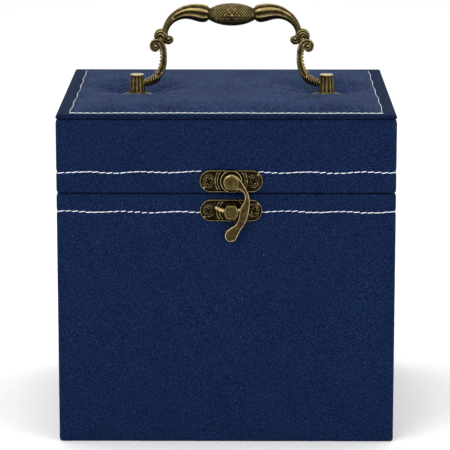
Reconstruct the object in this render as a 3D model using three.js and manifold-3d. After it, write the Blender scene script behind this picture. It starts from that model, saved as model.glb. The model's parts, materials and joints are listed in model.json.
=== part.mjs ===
// Velvet-covered jewelry case: a cube-shaped box with a hinged padded lid, a cast bail handle, a swing-hook
// latch, and a ring tray on parallel arms that a link to the lid swings up as the lid opens.
// Units are millimetres. +Z is up, the front faces -Y, and the origin is the centre of the base's underside.
import * as THREE from "three";
import { mergeVertices } from "three/addons/utils/BufferGeometryUtils.js";
import Module from "manifold-3d";

const wasm = await Module();
wasm.setup();

// ---- Driving dimensions -------------------------------------------------------------------------------
const WIDTH = 150;
const DEPTH = 140;
const SEAM_Z = 113.5; // where the lid meets the body
const SEAM_GAP = 0.5;
const LID_HEIGHT = 33; // from the seam to the top of the wrapped lid frame
const BOARD = 4; // case boards
const LID_BOARD = 3.6;
const SKIN = 0.8; // glued velvet, inside and out
const FIT = 0.05; // gap between glued or screwed neighbours
const RUN = 0.1; // radial gap of a shaft that turns in its hole
const SCREW_GAP = 0.3; // radial gap of a screw in its hole
const HARDWARE_X = 2.2; // the handle and the latch sit a little right of centre

const HALF_X = WIDTH / 2;
const HALF_Y = DEPTH / 2;
const WALL = SKIN + BOARD; // from the outside face to the inner face of a board
const CAVITY_X = HALF_X - WALL - FIT - SKIN; // inside face of the lining
const CAVITY_Y = HALF_Y - WALL - FIT - SKIN;
const FRONT_Y = -HALF_Y;
const BODY_TOP = SEAM_Z - SEAM_GAP / 2;
const LID_BOTTOM = SEAM_GAP / 2; // lid parts are measured up from the seam

// Hinges
const HINGE_AXIS_Y = HALF_Y + 1.85;
const HINGE_X = 42;
const LEAF_WIDTH = 20;
const LEAF_HEIGHT = 10;
const LEAF_THICK = 0.9;
const BARREL_R = 1.7;
const HINGE_PIN_R = 0.9;

// Latch
const HOOK_PIVOT_Z = 119.3;
const KEEPER_Z = 106.2;
const HOOK_THICK = 2.2;
const PLATE_THICK = 1.2;
const PLATE_SCREW_X = 10;
const HORN_R = HOOK_PIVOT_Z - KEEPER_Z; // the horn is an arc about the hook's pivot

// Handle
const POST_X = 43.95;
const HANDLE_PIVOT_Z = 152.4;
const ROSETTE_R = 6.7;
const POST_FOOT_R = 3.9;
const POST_TOP_R = 3.05;
const POST_TOP_Z = 156.5;
const HANDLE_SCREW_R = 1.6;
const GRIP_RISE = 32; // from the pivot to the grip's axis

// Padded lid panel
const PANEL_BORDER = 4.8;
const PANEL_EDGE = 2.25; // thickness of the flat border
const PANEL_CROWN = 1.9; // how far the padding stands above the border
const DIMPLE_R = 15; // the handle posts pull the padding down

// Lifting tray
const TRAY_X = 62.5;
const TRAY_Y = [-55, 59];
const TRAY_Z = [76, 110];
const TRAY_WALL = 2;
const ROLLS = 5;
const ROLL_PITCH = 10.9;
const ARM_LENGTH = 46;
const ARM_REST = THREE.MathUtils.degToRad(-30); // measured up from the direction of the front
const UPPER_PIVOT = [50, 108.4]; // Y and Z of the arms' pivots on the body
const LOWER_PIVOT = [46.5, 88.7];
const DRIVE_RADIUS = 34; // from the lid's hinge to the link's pin, and the same on the upper arm
const DRIVE_REST = THREE.MathUtils.degToRad(20);
const ARM_HALF_WIDTH = 3;
const STUD_R = 1.2;
const STUD_HEAD_R = 2.2;
// Distances from the case's middle plane of the layers beside the tray
const LAYER = {
  trayPlate: [62.55, 63.1],
  bodyStudHead: [63.3, 63.9],
  arm: [64.1, 65.3],
  trayStudHead: [65.5, 66.1],
  lidStudHead: [65.7, 66.3],
  link: [66.5, 67.5],
  armPinHead: [67.65, 68.25],
  wallPlate: [68.6, CAVITY_X - FIT],
};

// ---- Materials ----------------------------------------------------------------------------------------
const material = (color, roughness, metalness) =>
  new THREE.MeshStandardMaterial({ color, roughness, metalness });
const velvet = material(0x1a2a50, 0.95, 0);
const lining = material(0x22345f, 0.95, 0);
const board = material(0xa98a63, 0.85, 0);
const bronze = material(0x6b5b38, 0.45, 0.9);
const glass = material(0xd8dee2, 0.03, 1);

// ---- Geometry helpers ---------------------------------------------------------------------------------
const TURN = Math.PI * 2;
const vec2 = (x, y) => new THREE.Vector2(x, y);

/** A closed geometry as a solid that can be joined and cut. */
function solid(geometry) {
  const bare = geometry.index ? geometry.clone() : geometry;
  bare.deleteAttribute("normal");
  bare.deleteAttribute("uv");
  const merged = mergeVertices(bare, 1e-4);
  return new wasm.Manifold(
    new wasm.Mesh({
      numProp: 3,
      vertProperties: merged.attributes.position.array,
      triVerts: new Uint32Array(merged.index.array),
    }),
  );
}

/** A solid back as a geometry. */
function geometryOf(body) {
  const made = body.getMesh();
  const geometry = new THREE.BufferGeometry();
  geometry.setAttribute("position", new THREE.BufferAttribute(made.vertProperties, 3));
  geometry.setIndex(new THREE.BufferAttribute(made.triVerts, 1));
  geometry.computeVertexNormals();
  return geometry;
}

const joined = (first, ...rest) => rest.reduce((a, b) => a.add(b), first);
const cut = (first, ...rest) => rest.reduce((a, b) => a.subtract(b), first);

/** A box from its lowest and highest values on each axis. */
function box([x0, x1], [y0, y1], [z0, z1]) {
  const geometry = new THREE.BoxGeometry(x1 - x0, y1 - y0, z1 - z0);
  return solid(geometry.translate((x0 + x1) / 2, (y0 + y1) / 2, (z0 + z1) / 2));
}

/** A box centred in X and Y. */
const block = (halfX, halfY, z) => box([-halfX, halfX], [-halfY, halfY], z);

/** A cylinder along an axis ("x", "y" or "z"), from one value to another, through the point at. */
function rod(axis, r, from, to, at = [0, 0, 0], sides = 16) {
  const geometry = new THREE.CylinderGeometry(r, r, Math.abs(to - from), sides);
  if (axis === "x") geometry.rotateZ(Math.PI / 2);
  if (axis === "z") geometry.rotateX(Math.PI / 2);
  const centre = new THREE.Vector3(...at);
  centre[axis] = (from + to) / 2;
  return solid(geometry.translate(centre.x, centre.y, centre.z));
}

/** A turned piece about +Z from a list of [radius, height] that starts and ends on the axis, going up. */
function turned(profile, sides = 18) {
  const geometry = new THREE.LatheGeometry(profile.map(([r, z]) => vec2(r, z)), sides);
  return solid(geometry.rotateX(Math.PI / 2));
}

/** A plate cut from an outline in X and Z, its back at y and its front at y - thick. */
function frontPlate(shape, y, thick, curveSegments = 10) {
  const geometry = new THREE.ExtrudeGeometry(shape, { depth: thick, bevelEnabled: false, curveSegments });
  return solid(geometry.rotateX(Math.PI / 2).translate(0, y, 0));
}

/** A plate cut from an outline in Y and Z, between two values of X. */
function sidePlate(shape, [x0, x1], curveSegments = 8) {
  const geometry = new THREE.ExtrudeGeometry(shape, { depth: x1 - x0, bevelEnabled: false, curveSegments });
  return solid(geometry.rotateX(Math.PI / 2).rotateZ(Math.PI / 2).translate(x0, 0, 0));
}

/** A closed skin over rings of points that all have the same length, with a flat cap at each end. */
function loft(rings) {
  const sides = rings[0].length;
  const points = rings.flat();
  const first = points.push(centreOf(rings[0])) - 1;
  const last = points.push(centreOf(rings.at(-1))) - 1;
  const triangles = [];
  for (let ring = 0; ring < rings.length - 1; ring++) {
    for (let side = 0; side < sides; side++) {
      const a = ring * sides + side;
      const b = ring * sides + ((side + 1) % sides);
      triangles.push(a, b, a + sides, b, b + sides, a + sides);
    }
  }
  const end = (rings.length - 1) * sides;
  for (let side = 0; side < sides; side++) {
    const next = (side + 1) % sides;
    triangles.push(first, next, side, last, end + side, end + next);
  }
  const geometry = new THREE.BufferGeometry().setFromPoints(points);
  geometry.setIndex(triangles);
  const made = solid(geometry);
  return made.volume() > 0 ? made : solid(turnedInsideOut(geometry));
}

function centreOf(ring) {
  const sum = ring.reduce((total, point) => total.add(point), new THREE.Vector3());
  return sum.divideScalar(ring.length);
}

function turnedInsideOut(geometry) {
  const index = Array.from(geometry.index.array);
  for (let i = 0; i < index.length; i += 3) [index[i], index[i + 1]] = [index[i + 1], index[i]];
  return geometry.clone().setIndex(index);
}

/** A bar of round section in the XZ plane. Each station is [x, z, radius], and depth flattens it in Y. */
function taperedBar(stations, steps, depth = 1, sides = 8) {
  const line = new THREE.CatmullRomCurve3(
    stations.map(([x, z]) => new THREE.Vector3(x, 0, z)), false, "centripetal");
  const radii = new THREE.SplineCurve(stations.map(([, , r], i) => vec2(i / (stations.length - 1), r)));
  const rings = [];
  for (let i = 0; i <= steps; i++) {
    const t = i / steps;
    const middle = line.getPoint(t);
    const along = line.getTangent(t);
    const across = new THREE.Vector3(-along.z, 0, along.x);
    const r = radii.getPoint(t).y;
    rings.push(Array.from({ length: sides }, (_, k) => {
      const angle = (k / sides) * TURN;
      const point = middle.clone().addScaledVector(across, r * Math.cos(angle));
      return point.setY(depth * r * Math.sin(angle));
    }));
  }
  return loft(rings);
}

const root = new THREE.Group();
const body = new THREE.Group();
const lid = new THREE.Group();
lid.position.z = SEAM_Z;
root.add(body, lid);

/** Adds a named sub-part to a group. */
function add(group, name, shape, finish, position = [0, 0, 0], rotation = [0, 0, 0]) {
  const mesh = new THREE.Mesh(shape.isBufferGeometry ? shape : geometryOf(shape), finish);
  mesh.name = name;
  mesh.position.set(...position);
  mesh.rotation.set(...rotation);
  group.add(mesh);
}

const SIDES = [["left", -1], ["right", 1]];

// ---- Fasteners ----------------------------------------------------------------------------------------
/** A countersunk-look screw along -Z: the head's seat is at z 0 and the shank goes down. */
function crossScrew(headR, headHeight, shankR, length, sides = 12) {
  const whole = turned([
    [0, -length], [shankR * 0.5, -length], [shankR, -length + shankR], [shankR, 0],
    [headR, 0], [headR, headHeight * 0.35], [headR * 0.72, headHeight * 0.85], [0, headHeight],
  ], sides);
  const slot = headR * 0.62;
  const width = headR * 0.14;
  const depth = [headHeight * 0.35, headHeight + 1];
  return cut(whole, block(slot, width, depth), block(width, slot, depth));
}

// Screws on the front point their heads to -Y, screws on the back point theirs to +Y.
const FACING_FRONT = [Math.PI / 2, 0, 0];
const FACING_BACK = [-Math.PI / 2, 0, 0];
const FACING_DOWN = [Math.PI, 0, 0];

const PLATE_SCREW = { head: 2.25, height: 0.6, shank: 1.0, length: 4.6 };
const HINGE_SCREW = { head: 1.6, height: 0.6, shank: 0.8, length: 4.0 };

const hookPlateScrews = SIDES.map(([side, sign]) => ({
  side, x: HARDWARE_X + sign * PLATE_SCREW_X, z: HOOK_PIVOT_Z }));
const keeperScrews = SIDES.map(([side, sign]) => ({
  side, x: HARDWARE_X + sign * (PLATE_SCREW_X + 0.2), z: KEEPER_Z }));
const HINGE_SCREW_X = 6.2;
const HINGE_SCREW_Z = 6.4;
const hingeScrews = SIDES.flatMap(([, hinge]) => SIDES.map(([, end]) => hinge * HINGE_X + end * HINGE_SCREW_X));

const frontHole = (x, z, r) => rod("y", r, FRONT_Y - 1, FRONT_Y + PLATE_SCREW.length, [x, 0, z], 12);
const backHole = (x, z) => rod("y", HINGE_SCREW.shank + SCREW_GAP, HALF_Y - 4, HALF_Y + 1, [x, 0, z], 12);
const postHole = (side, r, z) => rod("z", r, z[0], z[1], [HARDWARE_X + side * POST_X, 0, 0], 18);

const bodyHoles = [
  ...keeperScrews.map(({ x, z }) => frontHole(x, z, PLATE_SCREW.shank + SCREW_GAP)),
  ...hingeScrews.map((x) => backHole(x, SEAM_Z - HINGE_SCREW_Z)),
];
const RIVET_R = 1.5;
const lidHoles = [
  ...hookPlateScrews.map(({ x, z }) => frontHole(x, z - SEAM_Z, PLATE_SCREW.shank + SCREW_GAP)),
  frontHole(HARDWARE_X, HOOK_PIVOT_Z - SEAM_Z, RIVET_R + RUN),
  ...hingeScrews.map((x) => backHole(x, HINGE_SCREW_Z)),
];

// ---- Body of the case ---------------------------------------------------------------------------------
function buildBody() {
  const skinX = HALF_X - SKIN;
  const skinY = HALF_Y - SKIN;
  const boardTop = BODY_TOP - SKIN - FIT;
  const boardBottom = SKIN + BOARD + FIT;
  add(body, "base_sheet", block(skinX - FIT, skinY - FIT, [0, SKIN - FIT]), velvet);
  add(body, "body_bottom_board", block(skinX - FIT, skinY - FIT, [SKIN, SKIN + BOARD]), board);
  add(body, "body_frame", cut(
    block(skinX - FIT, skinY - FIT, [boardBottom, boardTop]),
    block(HALF_X - WALL, HALF_Y - WALL, [0, BODY_TOP]),
    ...bodyHoles,
  ), board);
  add(body, "body_wrap", cut(
    block(HALF_X, HALF_Y, [0, BODY_TOP]),
    block(skinX, skinY, [-1, BODY_TOP - SKIN]),
    block(HALF_X - WALL, HALF_Y - WALL, [0, BODY_TOP + 1]),
    ...bodyHoles,
  ), velvet);
  add(body, "body_lining", cut(
    block(HALF_X - WALL - FIT, HALF_Y - WALL - FIT, [boardBottom, BODY_TOP]),
    block(CAVITY_X, CAVITY_Y, [boardBottom + SKIN, BODY_TOP + 1]),
  ), lining);
  add(body, "base_pad", softSlab(CAVITY_X - 0.4, CAVITY_Y - 0.4, 6.2, 1.6), lining,
    [0, 0, boardBottom + SKIN + FIT]);
}

/** A slab with rounded upright corners and a rounded upper edge, its underside at z 0. */
function softSlab(halfX, halfY, height, round) {
  const outline = roundedRectangle(2 * (halfX - round), 2 * (halfY - round), 4);
  const geometry = new THREE.ExtrudeGeometry(outline, {
    depth: height - round, bevelThickness: round, bevelSize: round, bevelSegments: 2, curveSegments: 3 });
  return cut(solid(geometry), block(halfX + 1, halfY + 1, [-round - 1, 0]));
}

function roundedRectangle(width, height, r, x = 0, y = 0) {
  const [w, h] = [width / 2, height / 2];
  const shape = new THREE.Shape();
  shape.absarc(x + w - r, y - h + r, r, -Math.PI / 2, 0);
  shape.absarc(x + w - r, y + h - r, r, 0, Math.PI / 2);
  shape.absarc(x - w + r, y + h - r, r, Math.PI / 2, Math.PI);
  shape.absarc(x - w + r, y - h + r, r, Math.PI, Math.PI * 1.5);
  return shape;
}

// ---- Lid ----------------------------------------------------------------------------------------------
const TOP_BOARD = [LID_HEIGHT - SKIN - FIT - LID_BOARD, LID_HEIGHT - SKIN - FIT];
const CEILING = TOP_BOARD[0] - FIT - SKIN;
const MIRROR = { width: 96, depth: 84, z: [25.0, 26.8] };
const MIRROR_FRAME = { width: 122, depth: 108, z: [24.0, CEILING - FIT] };
const SCREW_HEAD = { r: 3, height: 1.4 };

function buildLid() {
  const skinX = HALF_X - SKIN;
  const skinY = HALF_Y - SKIN;
  const boardBottom = LID_BOTTOM + SKIN + FIT;
  const screwHoles = SIDES.map(([, sign]) => postHole(sign, HANDLE_SCREW_R + SCREW_GAP, [20, 60]));
  const headHole = (sign, low) => postHole(sign, SCREW_HEAD.r + 0.4, [low, TOP_BOARD[0]]);
  add(lid, "lid_frame", cut(
    block(skinX - FIT, skinY - FIT, [boardBottom, TOP_BOARD[0] - FIT]),
    block(HALF_X - WALL, HALF_Y - WALL, [0, LID_HEIGHT]),
    ...lidHoles,
  ), board);
  add(lid, "lid_top_board", cut(block(skinX - FIT, skinY - FIT, TOP_BOARD), ...screwHoles), board);
  add(lid, "lid_wrap", cut(
    block(HALF_X, HALF_Y, [LID_BOTTOM, LID_HEIGHT]),
    block(skinX, skinY, [LID_BOTTOM + SKIN, LID_HEIGHT - SKIN]),
    block(HALF_X - WALL, HALF_Y - WALL, [-1, LID_HEIGHT - SKIN]),
    ...lidHoles,
    ...screwHoles,
  ), velvet);
  add(lid, "lid_lining", cut(
    block(HALF_X - WALL - FIT, HALF_Y - WALL - FIT, [LID_BOTTOM, TOP_BOARD[0] - FIT]),
    block(CAVITY_X, CAVITY_Y, [-1, CEILING]),
    ...SIDES.map(([, sign]) => headHole(sign, 20)),
  ), lining);
  add(lid, "lid_top_pad", paddedPanel(), velvet);
  add(lid, "mirror_frame", cut(
    block(MIRROR_FRAME.width / 2, MIRROR_FRAME.depth / 2, MIRROR_FRAME.z),
    block(MIRROR.width / 2 - 2.5, MIRROR.depth / 2 - 2.5, [20, 30]),
    block(MIRROR.width / 2 + 0.3, MIRROR.depth / 2 + 0.3, [MIRROR.z[0] - FIT, 30]),
    ...SIDES.map(([, sign]) => headHole(sign, MIRROR.z[1] + FIT)),
  ), lining);
  add(lid, "mirror", block(MIRROR.width / 2, MIRROR.depth / 2, MIRROR.z), glass);
}

/** Height of the padded panel above the wrapped lid frame. */
function panelHeight(x, y) {
  const [insideX, insideY] = [HALF_X - PANEL_BORDER, HALF_Y - PANEL_BORDER];
  const swell = (distance, half) => Math.max(0, 1 - (Math.abs(distance) / half) ** 8);
  const crown = PANEL_CROWN * Math.sqrt(swell(x, insideX) * swell(y, insideY));
  const pull = Math.max(...SIDES.map(([, sign]) => {
    const distance = Math.hypot(x - HARDWARE_X - sign * POST_X, y);
    return Math.exp(-((distance / DIMPLE_R) ** 2));
  }));
  return PANEL_EDGE + crown - PANEL_CROWN * 1.1 * pull;
}

/** The wrapped, padded board on top of the lid: a flat border, a swollen middle and a dimple at each post. */
function paddedPanel() {
  const [columns, rows] = [20, 16];
  const inset = 0.4;
  const low = LID_HEIGHT + FIT;
  const rings = [];
  for (let row = 0; row <= rows; row++) {
    const y = THREE.MathUtils.lerp(-HALF_Y + inset, HALF_Y - inset, row / rows);
    const ring = [];
    for (let column = 0; column <= columns; column++) {
      const x = THREE.MathUtils.lerp(-HALF_X + inset, HALF_X - inset, column / columns);
      ring.push(new THREE.Vector3(x, y, LID_HEIGHT + panelHeight(x, y)));
    }
    ring.push(new THREE.Vector3(HALF_X - inset, y, low), new THREE.Vector3(-HALF_X + inset, y, low));
    rings.push(ring);
  }
  const holes = SIDES.map(([, sign]) => postHole(sign, ROSETTE_R + 0.5, [LID_HEIGHT - 1, LID_HEIGHT + 9]));
  return cut(loft(rings), ...holes);
}

// ---- Handle -------------------------------------------------------------------------------------------
const ROSETTE_BASE = LID_HEIGHT + FIT;
const ROSETTE_TOP = ROSETTE_BASE + 1.15;
const PIVOT_Z = HANDLE_PIVOT_Z - SEAM_Z;
const BAIL_PIN_R = 1.25;

function buildHandle() {
  const seat = ROSETTE_TOP + FIT;
  const top = POST_TOP_Z - SEAM_Z;
  const rosette = cut(
    turned([[0, 0], [ROSETTE_R, 0], [ROSETTE_R, 0.45], [POST_FOOT_R + 0.5, ROSETTE_TOP - ROSETTE_BASE],
      [0, ROSETTE_TOP - ROSETTE_BASE]], 20),
    rod("z", HANDLE_SCREW_R + SCREW_GAP, -1, 3, [0, 0, 0], 12),
  );
  const postHeight = top - seat;
  for (const [side, sign] of SIDES) {
    const x = HARDWARE_X + sign * POST_X;
    const inward = rod("x", BAIL_PIN_R + RUN, -sign * (POST_FOOT_R + 1), 0, [0, 0, PIVOT_Z - seat], 12);
    const post = cut(
      flutedPost(postHeight),
      rod("z", HANDLE_SCREW_R + SCREW_GAP, -1, postHeight - 6.2, [0, 0, 0], 12),
      inward,
    );
    add(lid, `handle_rosette_${side}`, rosette, bronze, [x, 0, ROSETTE_BASE]);
    add(lid, `handle_post_${side}`, post, bronze, [x, 0, seat]);
    add(lid, `handle_screw_${side}`,
      crossScrew(SCREW_HEAD.r, SCREW_HEAD.height, HANDLE_SCREW_R, postHeight - 6.6 + seat - TOP_BOARD[0]),
      bronze, [x, 0, TOP_BOARD[0] - FIT], FACING_DOWN);
  }
  add(lid, "handle_bail", bail(), bronze, [HARDWARE_X, 0, PIVOT_Z]);
}

/** A tapered post with shallow flutes down its side. */
function flutedPost(height) {
  const flutes = 10;
  const sides = flutes * 2;
  const ring = (z, r) => Array.from({ length: sides }, (_, k) => {
    const angle = (k / sides) * TURN;
    const reach = r - 0.22 * (0.5 - 0.5 * Math.cos(angle * flutes));
    return new THREE.Vector3(reach * Math.cos(angle), reach * Math.sin(angle), z);
  });
  return loft([ring(0, POST_FOOT_R), ring(height - 0.5, POST_TOP_R + 0.05), ring(height, POST_TOP_R - 0.3)]);
}

/** The cast bail, modelled about the middle of its pivot line: two scrolled arms and a spindle-shaped grip. */
function bail() {
  const lowerArm = [[40.1, 0, 1.35], [38.4, 0.5, 1.6], [36.4, 1.4, 1.75], [33.5, 4.0, 1.75], [31.8, 7.5, 1.6],
    [31.3, 11.1, 1.5], [31.5, 14.2, 1.5], [32.4, 17.2, 1.5], [33.9, 19.2, 1.5]];
  const upperArm = [[31.3, 21.4, 1.5], [30.6, 25.1, 1.45], [28.4, 28.7, 1.8], [24.6, 32.1, 2.45],
    [20.6, 33.5, 3.1], [17.0, 33.6, 3.6], [13.8, 32.7, 3.7], [11.6, 32.2, 3.2], [10.3, 32.1, 2.3]];
  const half = (sign) => {
    const place = (stations) => stations.map(([x, z, r]) => [sign * x, z, r]);
    const pin = rod("x", BAIL_PIN_R, sign * 39.5, sign * 43.2, [0, 0, 0], 12);
    return joined(
      pin,
      taperedBar(place(lowerArm), 11),
      taperedBar(place(upperArm), 11, 0.92),
      knob(sign * 35.1, 17.0, 2.6, 1.75),
      knob(sign * 33.9, 23.0, 2.5, 1.9),
      knob(sign * 28.9, 20.9, 2.0, 1.6),
      knob(sign * 31.7, 21.0, 2.3, 1.9),
    );
  };
  const grip = turned(
    Array.from({ length: 9 }, (_, i) => {
      const t = i / 8;
      const r = 2.35 + 2.85 * Math.sin(Math.PI * t) ** 0.85;
      return [r, THREE.MathUtils.lerp(-10.8, 10.8, t)];
    }).reduce((profile, point) => [...profile, point], [[0, -10.8]]).concat([[0, 10.8]]),
    14,
  ).rotate([0, 90, 0]).translate([0, 0, GRIP_RISE]);
  return joined(grip, half(-1), half(1));
}

/** A flattened ball for the scrolls of the bail. */
function knob(x, z, r, halfDepth) {
  const geometry = new THREE.SphereGeometry(r, 8, 6);
  return solid(geometry.scale(1, halfDepth / r, 1).translate(x, 0, z));
}

// ---- Latch --------------------------------------------------------------------------------------------
const PLATE_BACK = FRONT_Y - FIT;
const PLATE_FRONT = PLATE_BACK - PLATE_THICK;
const BOSS_FRONT = PLATE_FRONT - 1.1;
const HOOK_BACK = BOSS_FRONT - 0.25;
const HOOK_FRONT = HOOK_BACK - HOOK_THICK;

/** A plate outline with a round lobe at each end, about the origin of X and Z. */
function lobedOutline(length, lobeR, waistHalf) {
  const end = length / 2 - lobeR;
  const lean = Math.asin(waistHalf / lobeR);
  const shape = new THREE.Shape();
  shape.absarc(end, 0, lobeR, -Math.PI + lean, Math.PI - lean);
  shape.absarc(-end, 0, lobeR, lean, TURN - lean);
  return shape;
}

function buildLatch() {
  const screwHole = (x) => rod("y", PLATE_SCREW.shank + SCREW_GAP, -80, -60, [x, 0, 0], 12);
  const screw = crossScrew(PLATE_SCREW.head, PLATE_SCREW.height, PLATE_SCREW.shank, PLATE_SCREW.length);
  const pivot = HOOK_PIVOT_Z - SEAM_Z;

  const hookPlate = cut(
    joined(
      frontPlate(lobedOutline(28, 4.85, 4.5), PLATE_BACK, PLATE_THICK),
      rod("y", 5.0, PLATE_BACK - 0.2, BOSS_FRONT, [0, 0, 0], 20),
    ),
    rod("y", RIVET_R + RUN, -80, -60, [0, 0, 0], 16),
    ...SIDES.map(([, sign]) => screwHole(sign * PLATE_SCREW_X)),
  );
  add(lid, "hook_plate", hookPlate, bronze, [HARDWARE_X, 0, pivot]);
  for (const { side, x } of hookPlateScrews) {
    add(lid, `hook_plate_screw_${side}`, screw, bronze, [x, PLATE_FRONT - FIT, pivot], FACING_FRONT);
  }
  const shaft = PLATE_BACK - HOOK_FRONT + 0.2;
  const rivet = turned([[0, -shaft], [RIVET_R, -shaft], [RIVET_R, 0], [3.0, 0], [3.0, 0.7], [2.3, 1.35], [0, 1.4]]);
  add(lid, "hook_rivet", rivet, bronze, [HARDWARE_X, HOOK_FRONT - 0.2, pivot], FACING_FRONT);
  add(lid, "latch_hook", hook(), bronze, [HARDWARE_X, 0, pivot]);

  const keeper = cut(
    joined(
      frontPlate(lobedOutline(27.6, 4.95, 4.5), PLATE_BACK, PLATE_THICK),
      keeperLoop(),
    ),
    ...SIDES.map(([, sign]) => screwHole(sign * (PLATE_SCREW_X + 0.2))),
  );
  add(body, "keeper", keeper, bronze, [HARDWARE_X, 0, KEEPER_Z]);
  for (const { side, x } of keeperScrews) {
    add(body, `keeper_screw_${side}`, screw, bronze, [x, PLATE_FRONT - FIT, KEEPER_Z], FACING_FRONT);
  }
}

/** The staple on the keeper that the hook's horn passes through from side to side. */
function keeperLoop() {
  const [halfHeight, reach] = [3.5, 6.3];
  const [gapHalf, gapNear, gapFar] = [2.2, HOOK_BACK + 0.35, HOOK_FRONT - 0.1];
  const front = FRONT_Y - reach;
  const arch = new THREE.Shape();
  arch.moveTo(-PLATE_BACK + 0.2, -halfHeight);
  arch.lineTo(-PLATE_BACK + 0.2, halfHeight);
  arch.lineTo(-front - 1.6, halfHeight);
  arch.quadraticCurveTo(-front, halfHeight, -front, halfHeight - 1.9);
  arch.lineTo(-front, -halfHeight + 1.9);
  arch.quadraticCurveTo(-front, -halfHeight, -front - 1.6, -halfHeight);
  const geometry = new THREE.ExtrudeGeometry(arch, { depth: 5.6, bevelEnabled: false, curveSegments: 5 });
  geometry.rotateX(Math.PI / 2).rotateZ(-Math.PI / 2).translate(2.8, 0, 0);
  const strap = solid(geometry);
  return cut(
    strap.volume() > 0 ? strap : solid(turnedInsideOut(geometry)),
    box([-4, 4], [gapFar, gapNear], [-gapHalf, gapHalf]),
  );
}

/** The swing hook about its pivot: an eye, a curved arm ending in a finger tab, and a horn for the staple. */
function hook() {
  const eyeR = 4.3;
  const arm = new THREE.Shape();
  arm.moveTo(3.0, 3.1);
  arm.splineThru([vec2(5.7, 0), vec2(7.1, -2.9), vec2(8.1, -6), vec2(8.3, -8.6), vec2(8.0, -11.4),
    vec2(6.9, -15.3), vec2(5.2, -19), vec2(3.6, -22.1), vec2(2.4, -24.9)]);
  arm.splineThru([vec2(0.9, -26.5), vec2(-0.9, -26.6), vec2(-2.6, -25.2), vec2(-2.5, -22.9), vec2(-0.3, -21)]);
  arm.splineThru([vec2(2.0, -19.4), vec2(3.6, -16.8), vec2(4.2, -13.8), vec2(4.3, -11.4)]);
  arm.splineThru([vec2(5.2, -9.7), vec2(6.0, -7.6), vec2(6.1, -5.8), vec2(5.1, -4.1), vec2(3.0, -3.2)]);
  arm.lineTo(0, 0);

  const degrees = (value) => THREE.MathUtils.degToRad(value);
  const [hornFrom, hornTo, hornHalf] = [degrees(-118), degrees(-62), 1.0];
  const horn = new THREE.Shape();
  horn.absarc(0, 0, HORN_R + hornHalf, hornFrom, hornTo);
  horn.absarc(0, 0, HORN_R - hornHalf, hornTo, hornFrom, true);
  const tip = [HORN_R * Math.cos(hornFrom), 0, HORN_R * Math.sin(hornFrom)];
  const hornBack = HOOK_BACK - 0.2;
  return cut(
    joined(
      frontPlate(arm, HOOK_BACK, HOOK_THICK, 2),
      rod("y", eyeR, HOOK_BACK, HOOK_FRONT, [0, 0, 0], 20),
      frontPlate(horn, hornBack, HOOK_THICK - 0.4, 7),
      rod("y", hornHalf, hornBack, HOOK_FRONT + 0.2, tip, 10),
    ),
    rod("y", RIVET_R + RUN, -90, -60, [0, 0, 0], 16),
  );
}

// ---- Hinges -------------------------------------------------------------------------------------------
function buildHinges() {
  const near = HALF_Y + FIT;
  const plateY = [near, near + LEAF_THICK];
  const half = LEAF_WIDTH / 2;
  const [inner, outer] = [3.2, 3.4]; // half lengths of the middle barrel and of the gap between the outer two
  const clear = BARREL_R + 0.4;
  const bore = rod("x", HINGE_PIN_R + RUN, -half - 1, half + 1, [0, HINGE_AXIS_Y, 0], 12);
  const holes = (z) => SIDES.map(([, end]) =>
    rod("y", HINGE_SCREW.shank + SCREW_GAP, HALF_Y - 1, HALF_Y + 3, [end * HINGE_SCREW_X, 0, z], 12));

  const lidLeaf = cut(
    joined(
      box([-half, half], plateY, [clear, LEAF_HEIGHT]),
      box([-inner, inner], plateY, [0, clear + 0.1]),
      rod("x", BARREL_R, -inner, inner, [0, HINGE_AXIS_Y, 0]),
    ),
    bore, ...holes(HINGE_SCREW_Z),
  );
  const bodyLeaf = cut(
    joined(
      box([-half, half], plateY, [-LEAF_HEIGHT, -clear]),
      ...SIDES.flatMap(([, end]) => {
        const span = [Math.min(end * outer, end * half), Math.max(end * outer, end * half)];
        return [
          box(span, plateY, [-clear - 0.1, 0]),
          rod("x", BARREL_R, span[0], span[1], [0, HINGE_AXIS_Y, 0]),
        ];
      }),
    ),
    bore, ...holes(-HINGE_SCREW_Z),
  );
  const pin = joined(
    rod("x", HINGE_PIN_R, -half - 0.4, half + 0.4, [0, 0, 0], 12),
    ...SIDES.map(([, end]) => rod("x", 1.35, end * (half + 0.1), end * (half + 0.7), [0, 0, 0], 12)),
  );
  const screw = crossScrew(HINGE_SCREW.head, HINGE_SCREW.height, HINGE_SCREW.shank, HINGE_SCREW.length, 10);
  const seat = near + LEAF_THICK + FIT;

  for (const [side, sign] of SIDES) {
    add(lid, `hinge_lid_leaf_${side}`, lidLeaf, bronze, [sign * HINGE_X, 0, 0]);
    add(body, `hinge_body_leaf_${side}`, bodyLeaf, bronze, [sign * HINGE_X, 0, SEAM_Z]);
    add(body, `hinge_pin_${side}`, pin, bronze, [sign * HINGE_X, HINGE_AXIS_Y, SEAM_Z]);
  }
  hingeScrews.forEach((x, i) => {
    add(lid, `hinge_lid_screw_${i + 1}`, screw, bronze, [x, seat, HINGE_SCREW_Z], FACING_BACK);
    add(body, `hinge_body_screw_${i + 1}`, screw, bronze, [x, seat, SEAM_Z - HINGE_SCREW_Z], FACING_BACK);
  });
}

// ---- Lifting tray and its linkage ---------------------------------------------------------------------
/** A point at a distance from another in Y and Z, at an angle up from the direction of the front. */
const swing = ([y, z], reach, angle) => [y - reach * Math.cos(angle), z + reach * Math.sin(angle)];

const UPPER_TRAY_PIN = swing(UPPER_PIVOT, ARM_LENGTH, ARM_REST);
const LOWER_TRAY_PIN = swing(LOWER_PIVOT, ARM_LENGTH, ARM_REST);
const ARM_LINK_PIN = swing(UPPER_PIVOT, DRIVE_RADIUS, DRIVE_REST);
const LID_LINK_PIN = swing([HINGE_AXIS_Y, SEAM_Z], DRIVE_RADIUS, DRIVE_REST);

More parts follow.
